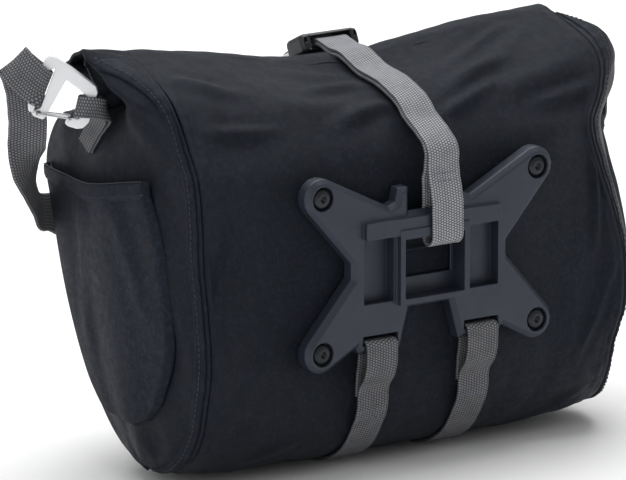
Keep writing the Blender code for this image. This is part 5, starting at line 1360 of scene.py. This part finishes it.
def row_across(x, line, height):
    """A row of stitches across a strap, where its path passes a height on the bag's back."""
    dense = resample(line, STRAP_FINE_STEP, STRAP_FINE_TURN)
    level = (dense[:, 0] < BACK_DEPTH) & (np.abs(dense[:, 1] - height) < 0.0016)
    k = int(np.argmin(np.where(level, dense[:, 0], 9.0)))
    run = dense[min(k + 2, len(dense) - 1)] - dense[k - 2]
    run = run / np.linalg.norm(run)
    out = np.array((0.0, -run[1], run[0]))
    out = out if out[1] < 0 else -out
    across = np.arange(-STRAP_STITCH_HALF, STRAP_STITCH_HALF + 0.0001, STRAP_PITCH)
    spots = np.stack([x + across, dense[k, 0] + 0 * across, dense[k, 1] + 0 * across], axis=1)
    middles = spots + out * (0.5 * STRAP_THICKNESS)
    return middles, np.broadcast_to((1.0, 0.0, 0.0), spots.shape), np.broadcast_to(out, spots.shape)


def make_stitching():
    """Thread: a line along each back seam, two rows along each hem and rows across the straps' ends."""
    rows = []
    up = np.linspace(0.06, 0.97, 170)
    p = np.linspace(0.02, 0.98, 80)
    for side in (-1, 1):
        line, share = seam_line(side, up, SEAM_STITCH_INSET, SEAM_STITCH_HEIGHT)
        rows.append(row_of_stitches(line, gusset_normal(side, up, share), SEAM_PITCH))
        for extra in HEM_STITCH_LEVELS:
            level = POCKET_ROWS[-1][0] + HEM_STITCH_START + extra + look_up(POCKET_SAG, p)[..., 1]
            c = pocket_top(p)
            cloth = STRETCH_CLOTH + HEM_EXTRA - HEM_STITCH_SUNK
            line = over_gusset(side, level, c, POCKET_GAP + POCKET_FULLNESS * pocket_bulge(p) + cloth)
            rows.append(row_of_stitches(line, gusset_normal(side, level, c), HEM_PITCH))
    mesh = stitch_mesh("seam_stitches", rows, SEAM_STITCH_LENGTH, THREAD_RADIUS)
    show("seam_stitches", mesh, "dark_thread", ())

    rows = [row_across(CENTRE_STRAP_X, strap_lines(), height) for height in CENTRE_STITCH_HEIGHTS]
    rows += [row_across(side * LOWER_STRAP_X, lower_line(side), height)
             for side, height in LOWER_STITCH_HEIGHTS]
    mesh = stitch_mesh("strap_stitches", rows, STRAP_STITCH_LENGTH, THREAD_RADIUS)
    show("strap_stitches", mesh, "blue_thread", ())


def new_group(name, inputs, outputs):
    """A shader node group with named inputs and outputs."""
    group = bpy.data.node_groups.new(name, "ShaderNodeTree")
    for label, kind, value in inputs:
        made = group.interface.new_socket(name=label, in_out="INPUT", socket_type=kind)
        if value is not None:
            made.default_value = value
    for label, kind in outputs:
        group.interface.new_socket(name=label, in_out="OUTPUT", socket_type=kind)
    return group, group.nodes.new("NodeGroupInput"), group.nodes.new("NodeGroupOutput")


def math_node(tree, operation, *values):
    """A Math node with its inputs linked or set."""
    node = tree.nodes.new("ShaderNodeMath")
    node.operation = operation
    for socket, value in zip(node.inputs, values):
        if isinstance(value, bpy.types.NodeSocket):
            tree.links.new(value, socket)
        else:
            socket.default_value = value
    return node.outputs[0]


def make_groups():
    """The shared patterns. Plain weave: sine threads both ways, and the sign of their product tells which
    lies on top. Webbing: half sine waves along it, staggered from column to column. Mottle: two noises."""
    number, vector = "NodeSocketFloat", "NodeSocketVector"
    tree, source, sink = new_group("plain_weave", [("Vector", vector, None), ("Pitch", number, 0.0006)],
                                   [("Height", number)])
    parts = tree.nodes.new("ShaderNodeSeparateXYZ")
    tree.links.new(source.outputs["Vector"], parts.inputs[0])
    turns = math_node(tree, "DIVIDE", math.pi, source.outputs["Pitch"])
    one = math_node(tree, "SINE", math_node(tree, "MULTIPLY", parts.outputs[0], turns))
    two = math_node(tree, "SINE", math_node(tree, "MULTIPLY", parts.outputs[1], turns))
    over = math_node(tree, "GREATER_THAN", math_node(tree, "MULTIPLY", one, two), 0.0)
    first = math_node(tree, "MULTIPLY", math_node(tree, "ABSOLUTE", one), over)
    under = math_node(tree, "SUBTRACT", 1.0, over)
    second = math_node(tree, "MULTIPLY", math_node(tree, "ABSOLUTE", two), under)
    tree.links.new(math_node(tree, "ADD", first, second), sink.inputs["Height"])

    tree, source, sink = new_group(
        "webbing_weave", [("Vector", vector, None), ("Rib", number, 0.0011), ("Column", number, 0.0016)],
        [("Height", number), ("Mask", number)])
    parts = tree.nodes.new("ShaderNodeSeparateXYZ")
    tree.links.new(source.outputs["Vector"], parts.inputs[0])
    across = math_node(tree, "DIVIDE", parts.outputs[0], source.outputs["Column"])
    run = math_node(tree, "DIVIDE", parts.outputs[1], source.outputs["Rib"])
    odd = math_node(tree, "MODULO", math_node(tree, "FLOOR", across), 2.0)
    staggered = math_node(tree, "ADD", run, math_node(tree, "MULTIPLY", odd, 0.5))

    def half_waves(value):
        turned = math_node(tree, "MULTIPLY", value, math.pi)
        return math_node(tree, "ABSOLUTE", math_node(tree, "SINE", turned))

    rib = half_waves(staggered)
    column = half_waves(across)
    # The mask is 1 on the ribs' tops and falls to 0 in the grooves; the webbing's finish paints shade into
    # the grooves with it.
    mask = math_node(tree, "MULTIPLY", math_node(tree, "POWER", rib, 0.9),
                     math_node(tree, "POWER", column, 0.5))
    height = math_node(tree, "ADD", math_node(tree, "MULTIPLY", mask, 0.8),
                       math_node(tree, "MULTIPLY", column, 0.2))
    tree.links.new(height, sink.inputs["Height"])
    tree.links.new(mask, sink.inputs["Mask"])

    tree, source, sink = new_group("mottle", [("Vector", vector, None), ("Scale", number, 200.0)],
                                   [("Fac", number), ("Fine", number)])
    outs = []
    for ratio, detail in ((1.0, 4.0), (6.0, 3.0)):
        noise = tree.nodes.new("ShaderNodeTexNoise")
        noise.inputs["Detail"].default_value = detail
        tree.links.new(source.outputs["Vector"], noise.inputs["Vector"])
        tree.links.new(math_node(tree, "MULTIPLY", source.outputs["Scale"], ratio), noise.inputs["Scale"])
        outs.append(noise.outputs["Fac"])
    tree.links.new(outs[0], sink.inputs["Fac"])
    tree.links.new(outs[1], sink.inputs["Fine"])


def placed(tree, group_name, vector, **values):
    """A group node with its vector linked and its other inputs set."""
    node = tree.nodes.new("ShaderNodeGroup")
    node.node_tree = bpy.data.node_groups[group_name]
    tree.links.new(vector, node.inputs["Vector"])
    for label, value in values.items():
        node.inputs[label].default_value = value
    return node.outputs


def mixed(tree, factor, first, second):
    """A colour between two, by a factor."""
    node = tree.nodes.new("ShaderNodeMix")
    node.data_type = "RGBA"
    tree.links.new(factor, node.inputs["Factor"])
    for socket, value in ((node.inputs["A"], first), (node.inputs["B"], second)):
        if isinstance(value, bpy.types.NodeSocket):
            tree.links.new(value, socket)
        else:
            socket.default_value = (*value, 1.0)
    return node.outputs["Result"]


def ranged(tree, value, low, high, to_low, to_high):
    """A value carried from one range to another."""
    node = tree.nodes.new("ShaderNodeMapRange")
    tree.links.new(value, node.inputs["Value"])
    for label, number in (("From Min", low), ("From Max", high), ("To Min", to_low), ("To Max", to_high)):
        node.inputs[label].default_value = number
    return node.outputs["Result"]


def scaled(colour, factor):
    """A colour made lighter or darker."""
    return tuple(min(1.0, part * factor) for part in colour)


def start_finish(name, roughness, metallic=0.0, **shader_values):
    """A new material: its tree and its shader, with the given constants on the shader's own sockets."""
    material = bpy.data.materials.new(name)
    material.use_nodes = True
    tree = material.node_tree
    shader = tree.nodes["Principled BSDF"]
    shader.inputs["Roughness"].default_value = roughness
    shader.inputs["Metallic"].default_value = metallic
    for label, value in shader_values.items():
        shader.inputs[label.replace("_", " ")].default_value = value
    return tree, shader


def on_surface(tree):
    """Places on the piece's own map, in metres."""
    node = tree.nodes.new("ShaderNodeUVMap")
    node.uv_map = "cloth"
    return node.outputs["UV"]


def in_space(tree):
    """Places in the piece's own space."""
    return tree.nodes.new("ShaderNodeTexCoord").outputs["Object"]


def bump(tree, shader, height, distance, strength):
    """A bump from a height to the shader's normal."""
    node = tree.nodes.new("ShaderNodeBump")
    node.inputs["Distance"].default_value = distance
    node.inputs["Strength"].default_value = strength
    tree.links.new(height, node.inputs["Height"])
    tree.links.new(node.outputs["Normal"], shader.inputs["Normal"])


def make_cloth_finish(name, colour, pitch, rough_low, rough_high, lift, weave_depth, sheen):
    """Cloth: a plain weave with painted shade between its threads, mottled in tone and gloss."""
    tree, shader = start_finish(
        name, rough_high, Sheen_Weight=sheen, Sheen_Roughness=0.45, Specular_IOR_Level=0.25,
        Specular_Tint=(0.70, 0.81, 1.0, 1.0))
    spot = in_space(tree)
    weave = placed(tree, "plain_weave", on_surface(tree), Pitch=pitch)["Height"]
    mottle = placed(tree, "mottle", spot, Scale=34.0)
    speck = placed(tree, "mottle", spot, Scale=420.0)
    patches = ranged(tree, mottle["Fac"], 0.34, 0.68, 0.0, 1.0)
    tone = mixed(tree, patches, scaled(colour, 0.82), scaled(colour, lift))
    fleck = ranged(tree, speck["Fac"], 0.48, 0.74, 0.0, 1.0)
    tone = mixed(tree, fleck, tone, scaled(colour, lift * 2.4))
    # Painted shade: the colour is darkened down to 0.72 between the weave's threads.
    thread = ranged(tree, weave, 0.15, 1.0, 0.72, 1.0)
    dark = tree.nodes.new("ShaderNodeVectorMath")
    dark.operation = "SCALE"
    tree.links.new(tone, dark.inputs[0])
    tree.links.new(thread, dark.inputs["Scale"])
    tree.links.new(dark.outputs[0], shader.inputs["Base Color"])
    tree.links.new(ranged(tree, mottle["Fine"], 0.3, 0.7, rough_low, rough_high), shader.inputs["Roughness"])
    height = math_node(tree, "ADD", math_node(tree, "MULTIPLY", weave, weave_depth),
                       math_node(tree, "MULTIPLY", speck["Fac"], 0.9))
    bump(tree, shader, height, 0.00030, 0.75)


def make_webbing_finish(name, colour, lift):
    """Webbing: ribs across it in staggered columns, with painted shade in the grooves and along the
    selvedge.
    """
    tree, shader = start_finish(name, 0.78, Specular_IOR_Level=0.2)
    weave = placed(tree, "webbing_weave", on_surface(tree), Rib=0.0014, Column=0.0017)
    mottle = placed(tree, "mottle", in_space(tree), Scale=160.0)
    # Painted shade: the grooves between the ribs are painted near black, and the rib tops lighter than the
    # webbing's colour.
    tone = mixed(tree, weave["Mask"], scaled(colour, 0.04), scaled(colour, lift))
    tone = mixed(tree, ranged(tree, mottle["Fac"], 0.42, 0.75, 0.0, 0.35), tone, scaled(colour, 0.6))
    tree.links.new(tone, shader.inputs["Base Color"])
    tree.links.new(ranged(tree, mottle["Fine"], 0.3, 0.7, 0.62, 0.82), shader.inputs["Roughness"])
    bump(tree, shader, weave["Height"], 0.00045, 0.7)


def make_hard_finish(name, colour, second, rough_low, rough_high, grain=3000.0, depth=0.00004,
                     metallic=0.0, **values):
    """Moulded plastic or painted metal: a fine grain, slight changes of tone and uneven gloss."""
    tree, shader = start_finish(name, rough_high, metallic, **values)
    spot = in_space(tree)
    mottle = placed(tree, "mottle", spot, Scale=46.0)
    fine = placed(tree, "mottle", spot, Scale=grain)
    tree.links.new(mixed(tree, ranged(tree, mottle["Fac"], 0.35, 0.7, 0.0, 1.0), colour, second),
                   shader.inputs["Base Color"])
    tree.links.new(ranged(tree, mottle["Fine"], 0.3, 0.7, rough_low, rough_high), shader.inputs["Roughness"])
    bump(tree, shader, fine["Fac"], depth, 0.5)


# The other cloths' distance between threads, and the two tones of metal and thread.
STRETCH_PITCH = 0.00075
TAPE_PITCH = 0.0009
SCREW_COLOURS = ((0.020, 0.021, 0.025), (0.034, 0.036, 0.042))
WIRE_COLOURS = ((0.55, 0.56, 0.58), (0.66, 0.67, 0.69))
DARK_THREAD_COLOURS = ((0.020, 0.022, 0.028), (0.040, 0.043, 0.052))
BLUE_THREAD_COLOURS = ((0.120, 0.135, 0.185), (0.165, 0.180, 0.235))


def make_finishes(looks):
    """Every material of the bag."""
    cloth, stretch, plate = tuple(looks.cloth), tuple(looks.stretch), tuple(looks.plate)
    light, mid, hook = tuple(looks.painted_lit_strap), tuple(looks.painted_shade_strap), tuple(looks.hook)
    make_groups()
    make_cloth_finish("coated_cloth", cloth, looks.weave_pitch, rough_low=0.44, rough_high=0.56,
                      lift=1.18, weave_depth=0.9, sheen=0.01)
    make_cloth_finish("stretch_cloth", stretch, STRETCH_PITCH, rough_low=0.60, rough_high=0.74,
                      lift=1.12, weave_depth=0.7, sheen=0.02)
    make_cloth_finish("seam_tape_finish", scaled(cloth, 0.92), TAPE_PITCH, rough_low=0.60, rough_high=0.72,
                      lift=1.10, weave_depth=0.25, sheen=0.01)
    # One grey webbing in two painted copies: lighter for the lit roof straps, darker for the shaded straps.
    make_webbing_finish("painted_lit_webbing_finish", light, lift=2.3)
    make_webbing_finish("painted_shade_webbing_finish", mid, lift=3.1)
    make_hard_finish("plate_finish", plate, scaled(plate, 1.2), rough_low=0.38, rough_high=0.50,
                     grain=1500.0, depth=0.00006, Specular_Tint=(0.84, 0.90, 1.0, 1.0))
    make_hard_finish("buckle_finish", scaled(plate, 0.42), scaled(plate, 0.52), rough_low=0.38,
                     rough_high=0.48, grain=1500.0, depth=0.00005)
    make_hard_finish("screw_finish", *SCREW_COLOURS, rough_low=0.30, rough_high=0.42,
                     grain=1800.0, metallic=0.65)
    make_hard_finish("hook_finish", hook, scaled(hook, 0.94), rough_low=0.28, rough_high=0.40,
                     grain=900.0, metallic=0.15, Coat_Weight=0.25)
    make_hard_finish("wire_finish", *WIRE_COLOURS, rough_low=0.22, rough_high=0.34,
                     grain=2500.0, depth=0.00003, metallic=0.95)
    make_hard_finish("dark_thread", *DARK_THREAD_COLOURS, rough_low=0.55, rough_high=0.70)
    make_hard_finish("blue_thread", *BLUE_THREAD_COLOURS, rough_low=0.55, rough_high=0.70)


# The camera that the photograph was measured with: its view, and where the plate's middle is in it.
VIEW_AZIMUTH = math.radians(-34.5)
VIEW_ELEVATION = math.radians(13.4)
VIEW_DISTANCE = 4.105
PIXELS_PER_MM = 1.9
VIEW_LENS = 448.6
VIEW_SENSOR = 36.0
FRAME_MIDDLE = (313.0, 240.0)
PLATE_IN_FRAME = (431.6, 260.2)
FLOOR_HALF = 9.0
WHITE = (1.0, 1.0, 1.0)


def make_camera():
    """The camera: parallel to the photograph's view, the plate's middle where it is in the frame."""
    a, e = VIEW_AZIMUTH, VIEW_ELEVATION
    right = Vector((math.cos(a), math.sin(a), 0))
    up = Vector((-math.sin(e) * math.sin(a), math.sin(e) * math.cos(a), math.cos(e)))
    back = Vector((math.sin(a) * math.cos(e), -math.cos(a) * math.cos(e), math.sin(e)))
    middle = Vector((0, 0, PLATE_CENTRE_HEIGHT)) + Vector(SHIFT)
    off_x = (FRAME_MIDDLE[0] - PLATE_IN_FRAME[0]) / PIXELS_PER_MM / 1000
    off_z = (PLATE_IN_FRAME[1] - FRAME_MIDDLE[1]) / PIXELS_PER_MM / 1000
    lens = bpy.data.cameras.new("photo_camera")
    lens.lens = VIEW_LENS
    lens.sensor_width = VIEW_SENSOR
    lens.clip_end = 30.0
    camera = bpy.data.objects.new("photo_camera", lens)
    bpy.context.scene.collection.objects.link(camera)
    turn = Matrix((right, up, back)).transposed().to_4x4()
    turn.translation = middle + right * off_x + up * off_z + back * VIEW_DISTANCE
    camera.matrix_world = turn
    bpy.context.scene.camera = camera


def area_light(name, spot, aim, size, power, colour):
    """A square soft light that looks at a point."""
    lamp = bpy.data.lights.new(name, "AREA")
    lamp.energy = power
    lamp.size = size
    lamp.color = colour
    obj = bpy.data.objects.new(name, lamp)
    bpy.context.scene.collection.objects.link(obj)
    obj.location = spot
    obj.rotation_euler = (Vector(aim) - Vector(spot)).to_track_quat("-Z", "Y").to_euler()


def make_studio(studio):
    """The camera, a plain pale floor, soft lights and a pale room."""
    make_camera()
    bag_middle = (0.0, 0.0, 0.12)
    area_light("top_light", (0.4, 0.9, 2.6), (0.1, 0.4, 0.0), 2.8, studio.top_power, WHITE)
    area_light("front_light", (-2.3, -0.7, 1.2), bag_middle, 1.6, studio.front_power, (0.98, 0.99, 1.0))
    area_light("side_light", (2.2, -1.2, 1.3), bag_middle, 1.4, studio.side_power, WHITE)
    room = bpy.data.worlds.new("pale_room")
    room.use_nodes = True
    room.node_tree.nodes["Background"].inputs["Color"].default_value = (*WHITE, 1.0)
    room.node_tree.nodes["Background"].inputs["Strength"].default_value = studio.room
    bpy.context.scene.world = room
    bpy.context.scene.view_settings.view_transform = "Standard"
    corners = [(x * FLOOR_HALF, y * FLOOR_HALF, 0) for x, y in ((-1, -1), (1, -1), (1, 1), (-1, 1))]
    mesh = bpy.data.meshes.new("floor")
    mesh.from_pydata(corners, [], [(0, 1, 2, 3)])
    floor = bpy.data.objects.new("floor", mesh)
    bpy.context.scene.collection.objects.link(floor)
    tree, shader = start_finish("floor_finish", 0.9)
    fine = placed(tree, "mottle", in_space(tree), Scale=3.0)
    tone = mixed(tree, fine["Fac"], (0.94, 0.94, 0.94), (0.97, 0.97, 0.97))
    tree.links.new(tone, shader.inputs["Base Color"])
    mesh.materials.append(bpy.data.materials["floor_finish"])


class BAG_OT_finishes(bpy.types.Operator):
    """Make every material of the bag"""

    bl_idname = "bag.finishes"
    bl_label = "Finishes"

    def execute(self, context):
        make_finishes(context.scene.bag_finish)
        return {"FINISHED"}


class BAG_OT_studio(bpy.types.Operator):
    """Make the camera, floor, lights and room"""

    bl_idname = "bag.studio"
    bl_label = "Studio"

    def execute(self, context):
        make_studio(context.scene.bag_studio)
        return {"FINISHED"}


class BAG_OT_body_cloth(bpy.types.Operator):
    """Build the main panel's cloth"""

    bl_idname = "bag.body_cloth"
    bl_label = "Body cloth"

    def execute(self, context):
        make_body_cloth()
        return {"FINISHED"}


class BAG_OT_rolled_mouth(bpy.types.Operator):
    """Build the rolled mouth"""

    bl_idname = "bag.rolled_mouth"
    bl_label = "Rolled mouth"

    def execute(self, context):
        make_rolled_mouth()
        return {"FINISHED"}


class BAG_OT_gussets(bpy.types.Operator):
    """Build both gussets"""

    bl_idname = "bag.gussets"
    bl_label = "Gussets"

    def execute(self, context):
        make_gusset_cloths()
        return {"FINISHED"}


class BAG_OT_pockets(bpy.types.Operator):
    """Build both side pockets and their hems"""

    bl_idname = "bag.pockets"
    bl_label = "Pockets"

    def execute(self, context):
        make_pockets()
        return {"FINISHED"}


class BAG_OT_tapes(bpy.types.Operator):
    """Build the tapes along the back seams"""

    bl_idname = "bag.tapes"
    bl_label = "Seam tapes"

    def execute(self, context):
        make_tapes()
        return {"FINISHED"}


class BAG_OT_plate(bpy.types.Operator):
    """Build the mounting plate"""

    bl_idname = "bag.plate"
    bl_label = "Plate"

    def execute(self, context):
        make_plate_piece()
        return {"FINISHED"}


class BAG_OT_screws(bpy.types.Operator):
    """Build the plate's screws"""

    bl_idname = "bag.screws"
    bl_label = "Screws"

    def execute(self, context):
        make_screws()
        return {"FINISHED"}


class BAG_OT_buckle(bpy.types.Operator):
    """Build the buckle and the ring"""

    bl_idname = "bag.buckle"
    bl_label = "Buckle"

    def execute(self, context):
        make_buckle_pieces()
        return {"FINISHED"}


class BAG_OT_straps(bpy.types.Operator):
    """Build the centre, front and lower straps"""

    bl_idname = "bag.straps"
    bl_label = "Straps"

    def execute(self, context):
        make_straps()
        return {"FINISHED"}


class BAG_OT_hooks(bpy.types.Operator):
    """Build the strap hooks"""

    bl_idname = "bag.hooks"
    bl_label = "Hooks"

    def execute(self, context):
        make_hook_pieces()
        return {"FINISHED"}


class BAG_OT_loops(bpy.types.Operator):
    """Build the side loops and the shoulder strap"""

    bl_idname = "bag.loops"
    bl_label = "Loops"

    def execute(self, context):
        make_loops()
        return {"FINISHED"}


class BAG_OT_stitching(bpy.types.Operator):
    """Build the stitching"""

    bl_idname = "bag.stitching"
    bl_label = "Stitching"

    def execute(self, context):
        make_stitching()
        return {"FINISHED"}


OPERATORS = (
    BAG_OT_finishes, BAG_OT_studio, BAG_OT_body_cloth, BAG_OT_rolled_mouth,
    BAG_OT_gussets, BAG_OT_pockets, BAG_OT_tapes, BAG_OT_plate,
    BAG_OT_screws, BAG_OT_buckle, BAG_OT_straps, BAG_OT_hooks,
    BAG_OT_loops, BAG_OT_stitching,
)


class BAG_PT_looks(bpy.types.Panel):
    """The bag's looks in the sidebar."""

    bl_idname = "BAG_PT_looks"
    bl_label = "Handlebar bag"
    bl_space_type = "VIEW_3D"
    bl_region_type = "UI"
    bl_category = "Bag"

    def draw(self, context):
        """List the settings and one button for each operator."""
        for holder in (context.scene.bag_finish, context.scene.bag_studio):
            for name in holder.__annotations__:
                self.layout.prop(holder, name)
        for step in OPERATORS:
            self.layout.operator(step.bl_idname)


CLASSES = [BagFinish, BagStudio, *OPERATORS, BAG_PT_looks]


def register():
    """Add the classes and the scene's settings."""
    for cls in CLASSES:
        bpy.utils.register_class(cls)
    bpy.types.Scene.bag_finish = PointerProperty(type=BagFinish)
    bpy.types.Scene.bag_studio = PointerProperty(type=BagStudio)


def unregister():
    """Take the settings and the classes away again."""
    del bpy.types.Scene.bag_studio
    del bpy.types.Scene.bag_finish
    for cls in reversed(CLASSES):
        bpy.utils.unregister_class(cls)


def main():
    """Build everything in order."""
    register()
    bpy.ops.bag.finishes()
    bpy.ops.bag.studio()
    bpy.ops.bag.body_cloth()
    bpy.ops.bag.rolled_mouth()
    bpy.ops.bag.gussets()
    bpy.ops.bag.pockets()
    bpy.ops.bag.tapes()
    bpy.ops.bag.plate()
    bpy.ops.bag.screws()
    bpy.ops.bag.buckle()
    bpy.ops.bag.straps()
    bpy.ops.bag.hooks()
    bpy.ops.bag.loops()
    bpy.ops.bag.stitching()


if __name__ == "__main__":
    main()
